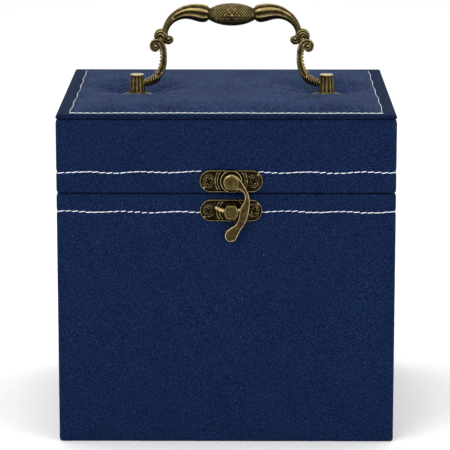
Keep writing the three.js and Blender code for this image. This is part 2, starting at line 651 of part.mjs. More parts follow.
/** A layer beside the tray on one side of the case, as lowest and highest X. */
const layer = (sign, [near, far]) => (sign > 0 ? [near, far] : [-far, -near]);

/** A flat bar with round ends between two points in Y and Z. */
function strip([y0, z0], [y1, z1], halfWidth) {
  const lean = Math.atan2(z1 - z0, y1 - y0);
  const shape = new THREE.Shape();
  shape.absarc(y1, z1, halfWidth, lean - Math.PI / 2, lean + Math.PI / 2);
  shape.absarc(y0, z0, halfWidth, lean + Math.PI / 2, lean + Math.PI * 1.5);
  return shape;
}

/** A headed stud across the layers: its shaft from one X to another, and a head at the far end. */
function stud(sign, [y, z], from, head, r = STUD_HEAD_R) {
  const [h0, h1] = layer(sign, head);
  const reach = from < head[0] ? head[0] + 0.1 : head[1] - 0.1;
  return joined(
    rod("x", STUD_R, sign * from, sign * reach, [0, y, z], 10),
    rod("x", r, h0, h1, [0, y, z], 12),
  );
}

const pinHole = ([y, z]) => rod("x", STUD_R + RUN, -80, 80, [0, y, z], 10);

function buildLinkage() {
  for (const [side, sign] of SIDES) {
    const armX = layer(sign, LAYER.arm);
    const wallX = layer(sign, LAYER.wallPlate);
    const trayX = layer(sign, LAYER.trayPlate);
    const armBar = (from, to) => sidePlate(strip(from, to, ARM_HALF_WIDTH), armX, 5);

    add(root, `upper_arm_${side}`, joined(
      cut(
        joined(armBar(UPPER_PIVOT, UPPER_TRAY_PIN), armBar(UPPER_PIVOT, ARM_LINK_PIN)),
        pinHole(UPPER_PIVOT), pinHole(UPPER_TRAY_PIN),
      ),
      stud(sign, ARM_LINK_PIN, LAYER.arm[0] + 0.2, LAYER.armPinHead),
    ), bronze);
    add(root, `lower_arm_${side}`, cut(
      armBar(LOWER_PIVOT, LOWER_TRAY_PIN), pinHole(LOWER_PIVOT), pinHole(LOWER_TRAY_PIN),
    ), bronze);
    add(root, `lid_link_${side}`, cut(
      sidePlate(strip(ARM_LINK_PIN, LID_LINK_PIN, 2.6), layer(sign, LAYER.link), 5),
      pinHole(ARM_LINK_PIN), pinHole(LID_LINK_PIN),
    ), bronze);
    add(body, `body_bracket_${side}`, joined(
      sidePlate(strip(LOWER_PIVOT, UPPER_PIVOT, 4.4), wallX, 5),
      ...[UPPER_PIVOT, LOWER_PIVOT].map((at) => stud(sign, at, LAYER.wallPlate[0] + 0.3, LAYER.bodyStudHead)),
    ), bronze);
    add(root, `tray_bracket_${side}`, joined(
      sidePlate(strip(LOWER_TRAY_PIN, UPPER_TRAY_PIN, 4), trayX, 5),
      sidePlate(strip(UPPER_TRAY_PIN, [UPPER_TRAY_PIN[0] - 18, UPPER_TRAY_PIN[1]], 4), trayX, 5),
      ...[UPPER_TRAY_PIN, LOWER_TRAY_PIN].map((at) =>
        stud(sign, at, LAYER.trayPlate[1] - 0.3, LAYER.trayStudHead)),
    ), bronze);

    const [lidY, lidZ] = [LID_LINK_PIN[0], LID_LINK_PIN[1] - SEAM_Z];
    add(lid, `lid_bracket_${side}`, joined(
      sidePlate(strip([lidY - 6, lidZ], [lidY + 16, lidZ], 4.4), wallX, 5),
      stud(sign, [lidY, lidZ], LAYER.wallPlate[0] + 0.3, LAYER.lidStudHead, 2.0),
    ), bronze);
  }
}

const ROLL_SPACE = ROLLS * ROLL_PITCH + 0.8; // front-to-back room for the ring rolls
const DIVIDER = 1.6;

function buildTray() {
  const [front, back] = TRAY_Y;
  const insideX = TRAY_X - TRAY_WALL;
  const rollBack = front + TRAY_WALL + ROLL_SPACE;
  const cells = [front + TRAY_WALL, rollBack, rollBack + DIVIDER, back - TRAY_WALL];
  const inside = [TRAY_Z[0] + TRAY_WALL, TRAY_Z[1] + 1];
  const cellX = (2 * insideX - 2 * DIVIDER) / 3;
  add(root, "tray_box", cut(
    box([-TRAY_X, TRAY_X], TRAY_Y, TRAY_Z),
    box([-insideX, insideX], [cells[0], cells[1]], inside),
    ...[0, 1, 2].map((i) => {
      const x = -insideX + i * (cellX + DIVIDER);
      return box([x, x + cellX], [cells[2], cells[3]], inside);
    }),
  ), lining);
  const rollShape = new THREE.Shape();
  const r = ROLL_PITCH / 2 - 0.1;
  const shoulder = 20;
  rollShape.moveTo(-r, 0);
  rollShape.lineTo(r, 0);
  rollShape.absarc(0, shoulder, r, 0, Math.PI);
  for (let i = 0; i < ROLLS; i++) {
    add(root, `ring_roll_${i + 1}`, sidePlate(rollShape, [-insideX + 0.3, insideX - 0.3], 6), lining,
      [0, cells[0] + 0.4 + (i + 0.5) * ROLL_PITCH, TRAY_Z[0] + TRAY_WALL + FIT]);
  }
}

buildBody();
buildLid();
buildHandle();
buildLatch();
buildHinges();
buildLinkage();
buildTray();

export default root;
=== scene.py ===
"""Looks of the velvet jewelry case: covered walls, padded lid, stitching, cast hardware, lining, tray."""
import json
import random
from math import atan2, copysign, cos, exp, hypot, pi, radians, sin, sqrt

import bmesh
import bpy
import numpy as np
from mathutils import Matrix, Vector, noise


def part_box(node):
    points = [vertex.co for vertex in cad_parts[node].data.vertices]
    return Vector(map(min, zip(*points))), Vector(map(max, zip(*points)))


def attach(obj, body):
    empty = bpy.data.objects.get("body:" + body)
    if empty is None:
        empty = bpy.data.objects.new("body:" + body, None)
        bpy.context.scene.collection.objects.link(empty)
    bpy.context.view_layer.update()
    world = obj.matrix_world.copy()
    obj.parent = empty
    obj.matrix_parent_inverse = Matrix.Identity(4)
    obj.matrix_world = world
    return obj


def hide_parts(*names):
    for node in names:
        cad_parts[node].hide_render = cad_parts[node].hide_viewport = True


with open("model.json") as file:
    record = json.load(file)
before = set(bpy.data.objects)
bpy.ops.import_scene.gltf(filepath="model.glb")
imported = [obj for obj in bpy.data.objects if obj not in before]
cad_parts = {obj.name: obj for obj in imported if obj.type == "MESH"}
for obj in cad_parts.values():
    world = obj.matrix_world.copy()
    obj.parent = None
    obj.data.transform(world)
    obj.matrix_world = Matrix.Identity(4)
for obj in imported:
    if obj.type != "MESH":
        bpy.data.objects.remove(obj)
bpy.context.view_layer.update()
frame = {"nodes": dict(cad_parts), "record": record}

# ---- Dimensions, in millimetres in the row frame ----
MM = 0.001
TURN = 2 * pi


def span(node):
    """A CAD node's lowest and highest corner, in millimetres."""
    low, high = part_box(node)
    return np.array(low) / MM, np.array(high) / MM


def middle(node):
    """The centre of a CAD node's box, in millimetres, as plain numbers."""
    low, high = span(node)
    return [float(v) for v in (low + high) / 2]


BODY_HIGH = span("body_wrap")[1]
LID_LOW, LID_HIGH = span("lid_wrap")
HALF_X, HALF_Y = BODY_HIGH[0], BODY_HIGH[1]
SEAM_Z = (BODY_HIGH[2] + LID_LOW[2]) / 2
HARDWARE_X, _, LATCH_Z = middle("hook_plate")
KEEPER_Z = middle("keeper")[2]
POST_X = middle("handle_post_right")[0] - HARDWARE_X  # from the handle's middle to each post
PIVOT_Z = 152.4  # the line through the handle's two pins
LID_STITCH_Z = SEAM_Z + 9.6
BODY_STITCH_Z = SEAM_Z - 8.2
STITCH_PITCH = 3.05
THREAD_R = 0.195
BODIES = {n: b for b, ns in frame["record"]["behaviour"]["bodies"].items() for n in ns}


# ---- Node material helpers ----
class Nodes:
    """A material's node tree, with one method for each kind of node it uses."""

    def __init__(self, name):
        self.material = bpy.data.materials.new(name)
        self.material.use_nodes = True
        self.tree = self.material.node_tree
        self.shader = self.tree.nodes["Principled BSDF"]

    def add(self, kind, **settings):
        node = self.tree.nodes.new(kind)
        for key, value in settings.items():
            setattr(node, key, value)
        return node

    def link(self, source, target):
        self.tree.links.new(source, target)

    def feed(self, socket, value):
        """Links another socket to this one, or sets a number or a colour on it."""
        if isinstance(value, bpy.types.NodeSocket):
            self.link(value, socket)
        else:
            socket.default_value = (*value, 1) if isinstance(value, tuple) else value

    def place(self, scale=(1, 1, 1), rotation=(0, 0, 0)):
        """Object coordinates, scaled and turned."""
        coordinates = self.add("ShaderNodeTexCoord")
        mapping = self.add("ShaderNodeMapping")
        mapping.inputs["Scale"].default_value = scale
        mapping.inputs["Rotation"].default_value = rotation
        self.link(coordinates.outputs["Object"], mapping.inputs["Vector"])
        return mapping.outputs["Vector"]

    def noise(self, where, scale, detail=3.0, roughness=0.5, distortion=0.0):
        node = self.add("ShaderNodeTexNoise")
        node.inputs["Scale"].default_value = scale
        node.inputs["Detail"].default_value = detail
        node.inputs["Roughness"].default_value = roughness
        node.inputs["Distortion"].default_value = distortion
        self.link(where, node.inputs["Vector"])
        return node.outputs["Fac"]

    def spots(self, where, scale, size):
        """1 in small round spots, one in each cell, and 0 elsewhere."""
        node = self.add("ShaderNodeTexVoronoi")
        node.inputs["Scale"].default_value = scale
        self.link(where, node.inputs["Vector"])
        return self.ramp(node.outputs["Distance"], [(size * 0.6, 1.0), (size, 0.0)])

    def ramp(self, source, stops):
        """A ramp of grey values or colours."""
        node = self.add("ShaderNodeValToRGB")
        elements = node.color_ramp.elements
        while len(elements) < len(stops):
            elements.new(0.5)
        for element, (at, value) in zip(elements, stops):
            element.position = at
            element.color = (*value, 1) if isinstance(value, tuple) else (value, value, value, 1)
        self.link(source, node.inputs["Fac"])
        return node.outputs["Color"]

    def maths(self, operation, first, second):
        node = self.add("ShaderNodeMath", operation=operation)
        self.feed(node.inputs[0], first)
        self.feed(node.inputs[1], second)
        return node.outputs["Value"]

    def mix(self, factor, first, second):
        """Mixes two colours; a colour is a socket or a triple."""
        node = self.add("ShaderNodeMix", data_type="RGBA")
        for number, value in ((0, factor), (6, first), (7, second)):
            self.feed(node.inputs[number], value)
        return node.outputs[2]

    def bump(self, height, distance, strength=1.0, onto=None):
        node = self.add("ShaderNodeBump")
        node.inputs["Distance"].default_value = distance
        node.inputs["Strength"].default_value = strength
        self.link(height, node.inputs["Height"])
        if onto is not None:
            self.link(onto, node.inputs["Normal"])
        return node.outputs["Normal"]

    def finish(self, color, roughness, normal=None, **constants):
        """Feeds the shader's own sockets; a constant such as sheen_weight is named after its socket."""
        self.feed(self.shader.inputs["Base Color"], color)
        self.feed(self.shader.inputs["Roughness"], roughness)
        if normal is not None:
            self.link(normal, self.shader.inputs["Normal"])
        for name, value in constants.items():
            self.feed(self.shader.inputs[name.replace("_", " ").title()], value)
        return self.material


def velvet(name, dark, light, sheen, tint, fineness=1.0, mottle=0.1):
    """Short-pile velvet: mottled by how the pile lies, streaked along the nap, with specks of lint."""
    n = Nodes(name)
    where = n.place()
    nap = n.place(scale=(1.0, 1.0, 0.5), rotation=(0.4, 0.7, 0.2))
    patches = n.noise(where, 75, detail=4, roughness=0.6)
    streaks = n.noise(nap, 2300 * fineness, detail=3, roughness=0.65, distortion=0.5)
    grain = n.noise(where, 1900 * fineness, detail=2, roughness=0.7)
    tone = n.maths("ADD", n.maths("MULTIPLY", patches, mottle), n.maths("MULTIPLY", streaks, 1 - mottle))
    cloth = n.mix(n.ramp(tone, [(0.42, 0.0), (0.58, 1.0)]), dark, light)
    sparkle = n.ramp(grain, [(0.55, 0.0), (0.67, 0.9)])
    cloth = n.mix(sparkle, cloth, tuple(3.2 * v for v in light))
    lint = n.maths("MULTIPLY", n.spots(where, 210, 0.035), 0.5)
    color = n.mix(lint, cloth, (0.32, 0.38, 0.5))
    normal = n.bump(streaks, 0.0003, 0.8)
    normal = n.bump(grain, 0.00015, 0.7, onto=normal)
    n.shader.inputs["Specular IOR Level"].default_value = 0.05
    return n.finish(color, 0.95, normal, sheen_weight=sheen, sheen_roughness=0.45, sheen_tint=tint)


def bronze(name, dark, mid, bright, roughness=0.36, cast=True):
    """Antiqued bronze: dark in the recesses from patina and painted shade, bright on the edges from rubbing
    and a painted highlight, with a cast or a rolled grain.
    """
    n = Nodes(name)
    where = n.place()
    geometry = n.add("ShaderNodeNewGeometry")
    patches = n.noise(where, 420, detail=4, roughness=0.6)
    grain = n.noise(where, 4200, detail=2, roughness=0.6)
    # Ambient occlusion darkens the colour in the recesses: patina, and painted shade.
    patina_and_shade = n.add("ShaderNodeAmbientOcclusion", samples=8, only_local=True)
    patina_and_shade.inputs["Distance"].default_value = 0.0014
    # Pointiness brightens the colour on the edges: rubbed wear, and a painted highlight.
    edges = [(0.45, 0.0), (0.5, 0.42), (0.555, 1.0)]
    height = n.ramp(geometry.outputs["Pointiness"], edges) if cast else 0.48
    wear = n.maths("MULTIPLY", n.maths("SUBTRACT", patches, 0.5), 0.8 if cast else 0.6)
    level = n.maths("MULTIPLY", n.maths("ADD", height, wear),
                    n.ramp(patina_and_shade.outputs["AO"], [(0.35, 0.0), (0.9, 1.0)]))
    # The ramp runs from the recesses (patina and painted shade) to the edges (wear and painted highlight).
    worn_and_highlit = tuple(0.8 * m + 0.2 * b for m, b in zip(mid, bright))
    color = n.ramp(level, [(0.08, dark), (0.48, mid), (0.66, worn_and_highlit), (0.88, bright)])
    rough = n.ramp(level, [(0.1, 0.62), (0.9, roughness - 0.06)])
    normal = n.bump(patches, 0.0002, 0.35)
    normal = n.bump(grain, 0.00005, 0.35, onto=normal)
    return n.finish(color, rough, normal, metallic=1.0)


def thread_material():
    n = Nodes("thread")
    fibres = n.noise(n.place(rotation=(0.6, 0.6, 0.6)), 2600, detail=2, roughness=0.6)
    color = n.ramp(fibres, [(0.3, (0.62, 0.66, 0.74)), (0.62, (0.92, 0.94, 0.97))])
    return n.finish(color, 0.6, n.bump(fibres, 0.00012, 0.6), sheen_weight=0.2)


def steel_material():
    n = Nodes("plated_steel")
    brushed = n.noise(n.place(scale=(1, 1, 6)), 900, detail=3, roughness=0.6)
    color = n.ramp(brushed, [(0.3, (0.16, 0.13, 0.07)), (0.7, (0.34, 0.28, 0.15))])
    rough = n.ramp(brushed, [(0.3, 0.26), (0.7, 0.4)])
    return n.finish(color, rough, n.bump(brushed, 0.00006, 0.4), metallic=1.0)


def board_material():
    n = Nodes("board")
    flakes = n.noise(n.place(), 700, detail=5, roughness=0.7)
    color = n.ramp(flakes, [(0.3, (0.26, 0.17, 0.09)), (0.7, (0.50, 0.36, 0.21))])
    return n.finish(color, 0.85, n.bump(flakes, 0.0002, 0.5))


def mirror_material():
    n = Nodes("mirror_glass")
    haze = n.noise(n.place(), 60, detail=4, roughness=0.7)
    return n.finish((0.86, 0.89, 0.9), n.ramp(haze, [(0.4, 0.015), (0.8, 0.05)]), metallic=1.0)


def floor_material():
    n = Nodes("floor")
    tone = n.noise(n.place(), 3, detail=2)
    return n.finish(n.ramp(tone, [(0.3, (0.94, 0.94, 0.94)), (0.7, (0.96, 0.96, 0.96))]), 0.7)


OUTER = velvet("outer_velvet", (0.0013, 0.005, 0.0215), (0.0058, 0.0145, 0.05), 0.045, (0.35, 0.55, 1.0))
# A darker copy of the panel velvet for the panel's border and side: painted shade.
SHADED_BORDER = velvet("border_velvet_painted_shade", (0.001, 0.0036, 0.015), (0.0042, 0.0105, 0.034), 0.04, (0.4, 0.58, 1.0))
PANEL = velvet("panel_velvet", (0.0012, 0.0044, 0.019), (0.011, 0.0228, 0.067), 0.07, (0.5, 0.66, 1.0),
               fineness=0.45, mottle=0.42)
LINING = velvet("lining_velvet", (0.01, 0.02, 0.07), (0.02, 0.04, 0.12), 0.35, (0.45, 0.55, 0.9))
CAST = bronze("cast_bronze", (0.009, 0.006, 0.002), (0.07, 0.051, 0.02), (0.36, 0.275, 0.115))
PLATE = bronze("plate_bronze", (0.005, 0.004, 0.0024), (0.012, 0.009, 0.0044), (0.38, 0.3, 0.135))
WORN = bronze("worn_bronze", (0.012, 0.008, 0.003), (0.115, 0.081, 0.031), (0.58, 0.46, 0.2))
POLISHED = bronze("polished_bronze", (0.14, 0.11, 0.055), (0.38, 0.31, 0.17), (0.75, 0.66, 0.45),
                  roughness=0.3)
ROLLED = bronze("rolled_bronze", (0.02, 0.014, 0.006), (0.085, 0.064, 0.027), (0.3, 0.235, 0.11),
                cast=False)
THREAD = thread_material()
STEEL = steel_material()
BOARD = board_material()
MIRROR = mirror_material()


# ---- Mesh helpers ----
WELD = 0.002


def unit(value):
    return min(1.0, max(0.0, value))


def new_object(name, data):
    made = bpy.data.objects.new(name, data)
    bpy.context.scene.collection.objects.link(made)
    return made


def face_outwards(mesh, inwards=False):
    """Welds points that coincide and turns each skin's faces outwards, or the other way for a lining."""
    work = bmesh.new()
    work.from_mesh(mesh)
    bmesh.ops.remove_doubles(work, verts=work.verts, dist=WELD * MM)
    bmesh.ops.recalc_face_normals(work, faces=work.faces)
    if inwards:
        bmesh.ops.reverse_faces(work, faces=work.faces)
    work.to_mesh(mesh)
    work.free()


def mesh_object(name, parts, material, body, replaces=(), inwards=False):
    """A piece from a list of (points in millimetres, faces), riding on a body."""
    points, faces = [], []
    for part_points, part_faces in parts:
        start = len(points)
        points.extend(tuple(float(v) * MM for v in p) for p in part_points)
        faces.extend(tuple(i + start for i in face) for face in part_faces)
    mesh = bpy.data.meshes.new(name)
    mesh.from_pydata(points, [], faces)
    mesh.validate()
    face_outwards(mesh, inwards)
    mesh.shade_smooth()
    piece = new_object(name, mesh)
    mesh.materials.append(material)
    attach(piece, body)
    if replaces:
        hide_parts(*replaces)
    return piece


def add_modifier(piece, name, kind, **settings):
    modifier = piece.modifiers.new(name, kind)
    for key, value in settings.items():
        setattr(modifier, key, value)


def bronze_piece(name, parts, material, body, replaces=()):
    return mesh_object(name, parts, material, body, replaces)


def loft(rings, cap_start=False, cap_end=False):
    """Points and quads of a skin over closed rings of equal length."""
    rings = [np.asarray(ring, float) for ring in rings]
    sides = len(rings[0])
    points = [p for ring in rings for p in ring]
    faces = []
    for i in range(len(rings) - 1):
        for k in range(sides):
            a, b = i * sides + k, i * sides + (k + 1) % sides
            faces.append((a, b, b + sides, a + sides))
    if cap_start:
        faces.append(tuple(range(sides - 1, -1, -1)))
    if cap_end:
        last = (len(rings) - 1) * sides
        faces.append(tuple(range(last, last + sides)))
    return points, faces


def solid(rings):
    return loft(rings, cap_start=True, cap_end=True)


def angles(sides):
    return [TURN * k / sides for k in range(sides)]


def unit_rows(rows):
    return rows / np.linalg.norm(rows, axis=1)[:, None]


def grid_faces(rows, columns):
    """Quads of a grid whose points run row by row."""
    starts = [r * columns + c for r in range(rows - 1) for c in range(columns - 1)]
    return [(i, i + 1, i + columns + 1, i + columns) for i in starts]


def smooth_line(stations, steps):
    """Points along a Catmull-Rom curve through rows of values, every column treated alike."""
    rows = np.asarray(stations, float)
    rows = np.vstack([2 * rows[0] - rows[1], rows, 2 * rows[-1] - rows[-2]])
    spans = len(rows) - 3
    out = []
    for t in np.linspace(0, spans, steps):
        i = min(int(t), spans - 1)
        f = t - i
        a, b, c, d = rows[i:i + 4]
        out.append(0.5 * (2 * b + (c - a) * f + (2 * a - 5 * b + 4 * c - d) * f * f
                          + (3 * b - a - 3 * c + d) * f ** 3))
    return np.array(out)


def bar(stations, steps, sides, relief=None, depth=1.0, middle_y=0.0):
    """A bar of round section in the XZ plane through stations (x, z, radius).

    relief(t, angle) scales the radius, and depth scales the section along Y.
    """
    line = smooth_line(stations, steps)
    along = unit_rows(np.gradient(line[:, :2], axis=0))
    rings = []
    for i, (x, z, r) in enumerate(line):
        t = i / (steps - 1)
        ring = []
        for angle in angles(sides):
            reach = r * (relief(t, angle) if relief else 1.0)
            out = reach * cos(angle)
            y = middle_y + depth * reach * sin(angle)
            ring.append((x - along[i, 1] * out, y, z + along[i, 0] * out))
        rings.append(ring)
    return solid(rings)


def ball(centre, radii, rings, sides):
    """A ball or ellipsoid, its poles along Y."""
    made = []
    for i in range(1, rings):
        lift = pi * i / rings - pi / 2
        made.append([(centre[0] + radii[0] * cos(lift) * cos(a),
                      centre[1] + radii[1] * sin(lift),
                      centre[2] + radii[2] * cos(lift) * sin(a))
                     for a in angles(sides)])
    return solid(made)


def turned(profile, sides, place, relief=None):
    """A turned skin: profile rows are (radius, height), and place maps (u, v, height) to the row frame."""
    rings = []
    for r, h in profile:
        ring = []
        for angle in angles(sides):
            reach = r * (relief(angle, h) if relief else 1.0)
            ring.append(place(reach * cos(angle), reach * sin(angle), h))
        rings.append(ring)
    return solid(rings)


RECTANGLE_STEP = 1.6
CORNER_STEPS = 6


def rectangle(half_x, half_y, corner):
    """Points round a rounded rectangle, anticlockwise from the front-left, always the same count."""
    points = []
    counts = [round(2 * HALF_X / RECTANGLE_STEP), round(2 * HALF_Y / RECTANGLE_STEP)] * 2
    starts = [(-1, -1, 1, 0), (1, -1, 0, 1), (1, 1, -1, 0), (-1, 1, 0, -1)]
    for count, (sx, sy, dx, dy) in zip(counts, starts):
        length = 2 * ((half_x if dx else half_y) - corner)
        x0 = sx * (half_x - (corner if dx else 0))
        y0 = sy * (half_y - (corner if dy else 0))
        points += [(x0 + dx * length * i / count, y0 + dy * length * i / count)
                   for i in range(count + 1)]
        start = atan2(dy, dx) - pi / 2
        cx = x0 + dx * length - corner * cos(start)
        cy = y0 + dy * length - corner * sin(start)
        for i in range(1, CORNER_STEPS):
            angle = start + pi / 2 * i / CORNER_STEPS
            points.append((cx + corner * cos(angle), cy + corner * sin(angle)))
    return np.array(points)


def unevenness(x, y, z, size, seed):
    """Smooth noise from about -0.5 to 0.5 with features of that size in millimetres."""
    return noise.noise(Vector((x / size + seed, y / size - seed, z / size + 2 * seed)))


# ---- Covers ----
COVER_CORNER = 1.6
GROOVE_DEPTH = 0.38
GROOVE_WIDTH = 0.8
GROOVE_ZONE = 3  # above and below a stitch line, where the rows are close together
TUCK = [(-4.75, 0.6), (-4.4, 0.15), (-3.6, 0), (-1.3, 0), (-0.7, 0.08), (-0.28, 0.4), (-0.05, 0.9)]


def wrapped_walls(profile, seed, stitch_z):
    """Velvet drawn over the four walls of a board box: profile rows are (offset outward, height)."""
    rings = []
    for offset, z in profile:
        flat = rectangle(HALF_X + offset, HALF_Y + offset, max(COVER_CORNER + offset, 0.25))
        ring = []
        for i, (x, y) in enumerate(flat):
            across = HALF_X - abs(x) if abs(y) > HALF_Y - 3 else HALF_Y - abs(y)
            wave = 0.16 * unevenness(x, y, z, 26, seed) + 0.07 * unevenness(x, y, z, 8, seed + 9)
            phase = TURN * i * RECTANGLE_STEP / STITCH_PITCH
            pucker = 0.10 * exp(-((z - stitch_z) / 1.6) ** 2) * cos(phase)
            push = (wave + pucker) * min(1.0, max(across, 0) / 6 + 0.15)
            side_on = abs(x) / HALF_X > abs(y) / HALF_Y
            ring.append((x + (copysign(push, x) if side_on else 0),
                         y + (0 if side_on else copysign(push, y)), z))
        rings.append(ring)
    return loft(rings)


def wall_rows(low, low_step, stitch_z, high, high_step):
    """Profile rows up a wall, with the groove that the stitches pull into the velvet."""
    heights = [*np.arange(low, stitch_z - GROOVE_ZONE, low_step),
               *np.arange(stitch_z - GROOVE_ZONE, stitch_z + GROOVE_ZONE, 0.4),
               *np.arange(stitch_z + GROOVE_ZONE, high, high_step)]
    return [(-GROOVE_DEPTH * exp(-((z - stitch_z) / GROOVE_WIDTH) ** 2), z) for z in heights]


def build_body_cover():
    top = BODY_HIGH[2]
    profile = [(-6.0, 0.35), (-3.0, 0.12), (-1.2, 0.02), (-0.5, 0.2), (-0.12, 0.6)]
    profile += wall_rows(1.4, 2.2, BODY_STITCH_Z, top - 1.2, 1.2)
    profile += [(offset, top - drop) for offset, drop in TUCK[::-1]]
    walls = wrapped_walls(profile, 3.1, BODY_STITCH_Z)
    mesh_object("body_cover", [walls], OUTER, "body", ["body_wrap"])


def build_lid_cover():
    low, top = LID_LOW[2], LID_HIGH[2]
    profile = [(offset, low + rise) for offset, rise in TUCK]
    profile += wall_rows(low + 1.6, 1.4, LID_STITCH_Z, top - 1.6, 1.8)
    profile += [(-0.05, top - 1.3), (-0.3, top - 0.6), (-0.8, top - 0.15), (-1.6, top - 0.02), (-6.0, top)]
    walls = wrapped_walls(profile, 7.7, LID_STITCH_Z)
    mesh_object("lid_cover", [walls], OUTER, "lid", ["lid_wrap"])


# ---- Stitching ----
def stitch(start, end, out, radius=THREAD_R):
    """One stitch between two holes, a short arched thread that stands off the cloth along out."""
    start, end, out = (np.array(v, float) for v in (start, end, out))
    along = end - start
    along /= np.linalg.norm(along)
    side = np.cross(out, along)
    rings = []
    for t in np.linspace(0, 1, 9):
        arch = sin(pi * t) ** 0.55
        centre = start + (end - start) * t + out * (0.26 * arch - 0.10)
        r = radius * (0.6 + 0.4 * sin(pi * t) ** 0.5)
        rings.append([centre + r * (cos(a) * side + sin(a) * out)
                      for a in angles(7)])
    return solid(rings)


def stitch_run(start, end, out, drift, seed, skip=None, radius=THREAD_R, unsteady=1.0):
    """A run of stitches in a line, which wanders along drift. skip says which places stay bare."""
    start, end, out, drift = (np.array(v, float) for v in (start, end, out, drift))
    rng = random.Random(seed)
    count = round(float(np.linalg.norm(end - start)) / STITCH_PITCH)
    made = []
    for i in range(count):
        a = start + (end - start) * (i - 0.05) / count
        b = start + (end - start) * (i + 1.03) / count
        if skip and skip((a + b) / 2):
            continue
        wander = unsteady * (0.29 * sin(0.78 * i + seed) + 0.16 * sin(0.19 * i + 2 * seed))
        wander += 0.06 * rng.uniform(-1, 1)
        lean = unsteady * (0.19 + rng.uniform(-0.09, 0.09))
        made.append(stitch(a + drift * (wander - lean), b + drift * (wander + lean), out, radius))
    return made


STITCH_SINK = 0.38  # the stitches lie in the groove, this far inside the wall's face
STITCH_END = 0.7  # from a wall's corner to its first hole
LATCH_CLEAR = 11.5  # the latch plates hide the stitches this far to each side


def behind_latch(point):
    return abs(point[0] - HARDWARE_X) < LATCH_CLEAR


def build_wall_stitching(name, z, body, seed):
    """A stitch line round the four walls."""
    x, y = HALF_X - STITCH_SINK, HALF_Y - STITCH_SINK
    end_x, end_y = HALF_X - STITCH_END, HALF_Y - STITCH_END
    up = (0, 0, 1)
    runs = stitch_run((-end_x, -y, z), (end_x, -y, z), (0, -1, 0), up, seed, behind_latch)
    runs += stitch_run((x, -end_y, z), (x, end_y, z), (1, 0, 0), up, seed + 1)
    runs += stitch_run((end_x, y, z), (-end_x, y, z), (0, 1, 0), up, seed + 2)
    runs += stitch_run((-x, end_y, z), (-x, -end_y, z), (-1, 0, 0), up, seed + 3)
    mesh_object(name, runs, THREAD, body)


# ---- Padded lid panel ----
PANEL_HIGH = span("lid_top_pad")[1]
PANEL_BASE = LID_HIGH[2] + 0.1
PANEL_FLAT = PANEL_BASE + 2.15
PANEL_X, PANEL_Y = PANEL_HIGH[0] + 0.3, PANEL_HIGH[1] + 0.3
PANEL_EDGE_R = 1.1
STITCH_IN = 4.8  # from the panel's front or back edge to its stitch line
SIDE_EXTRA = 1.2  # and this much more at its sides
SIDE_THREAD_R = 0.11
BACK_THREAD_R = 0.2
SWELL_CAP = 1.6
SWELL_SCALE = 10
SWELL_FRAMES = 20
CLOTH = {"quality": 6, "mass": 0.25, "tension_stiffness": 15, "compression_stiffness": 15,
         "shear_stiffness": 8, "bending_stiffness": 0.6, "use_pressure": True, "uniform_pressure_force": 3.0,
         "shrink_min": -0.022, "vertex_group_mass": "held"}
WELL_WIDTH = 21
ROSETTE_R = 6.7


def ruled(half, stitch_in):
    """Positions from -half to half, close together near the edge and the stitch line, wider inside."""
    near = [0, 0.15, 0.5, 1.1, 2.0, 3.0]
    near += [stitch_in + v for v in (-0.9, -0.5, -0.2, 0, 0.2, 0.5, 0.9, 1.5, 2.4, 3.6)]
    inner = half - near[-1]
    count = round(2 * inner / 1.7)
    side = [half - v for v in near]
    between = np.linspace(-inner, inner, count + 1)[1:-1]
    return np.array([-v for v in side] + list(between) + side[::-1])


def sewn_grid():
    """The panel's grid: each point's x and y, and its way in from the edge, the sewing and a post."""
    xs, ys = ruled(PANEL_X, STITCH_IN + SIDE_EXTRA), ruled(PANEL_Y, STITCH_IN)
    x, y = np.meshgrid(xs, ys)
    in_x, in_y = PANEL_X - np.abs(x), PANEL_Y - np.abs(y)
    edge = np.minimum(in_x, in_y)
    sewn = np.minimum(in_x - SIDE_EXTRA, in_y) - STITCH_IN
    post = np.minimum(np.hypot(x - HARDWARE_X - POST_X, y), np.hypot(x - HARDWARE_X + POST_X, y))
    return x, y, edge, sewn, post


def panel_start(edge, sewn, post):
    """The panel before the padding swells it: rounded edge, sewn groove and the wells round the posts."""
    rounding = np.clip(1 - edge / PANEL_EDGE_R, 0, 1)
    z = PANEL_FLAT - PANEL_EDGE_R * (1 - np.sqrt(1 - rounding ** 2))
    z -= 0.32 * np.exp(-(sewn / 0.8) ** 2)
    inside = np.clip(sewn / 12, 0, 1)
    z += 0.8 * np.sin(inside * pi / 2)
    well = np.clip((post - ROSETTE_R - 0.2) / WELL_WIDTH, 0, 1)
    return np.where(sewn > 0, z - (z - PANEL_BASE - 0.15) * (1 - well) ** 2.0, z)


def pulled_folds(x, y, post):
    """Shallow folds that run out from each post, where its screw pulls the cloth down."""
    nearest = HARDWARE_X + np.copysign(POST_X, x - HARDWARE_X)
    turn = np.arctan2(y, x - nearest)
    away = np.clip(post - ROSETTE_R, 0, None)
    fade = np.exp(-away / 9) * np.clip(away / 4, 0, 1)
    return 0.4 * fade * np.cos(8 * turn + 1.4 * np.sin(3 * turn + 0.05 * nearest))


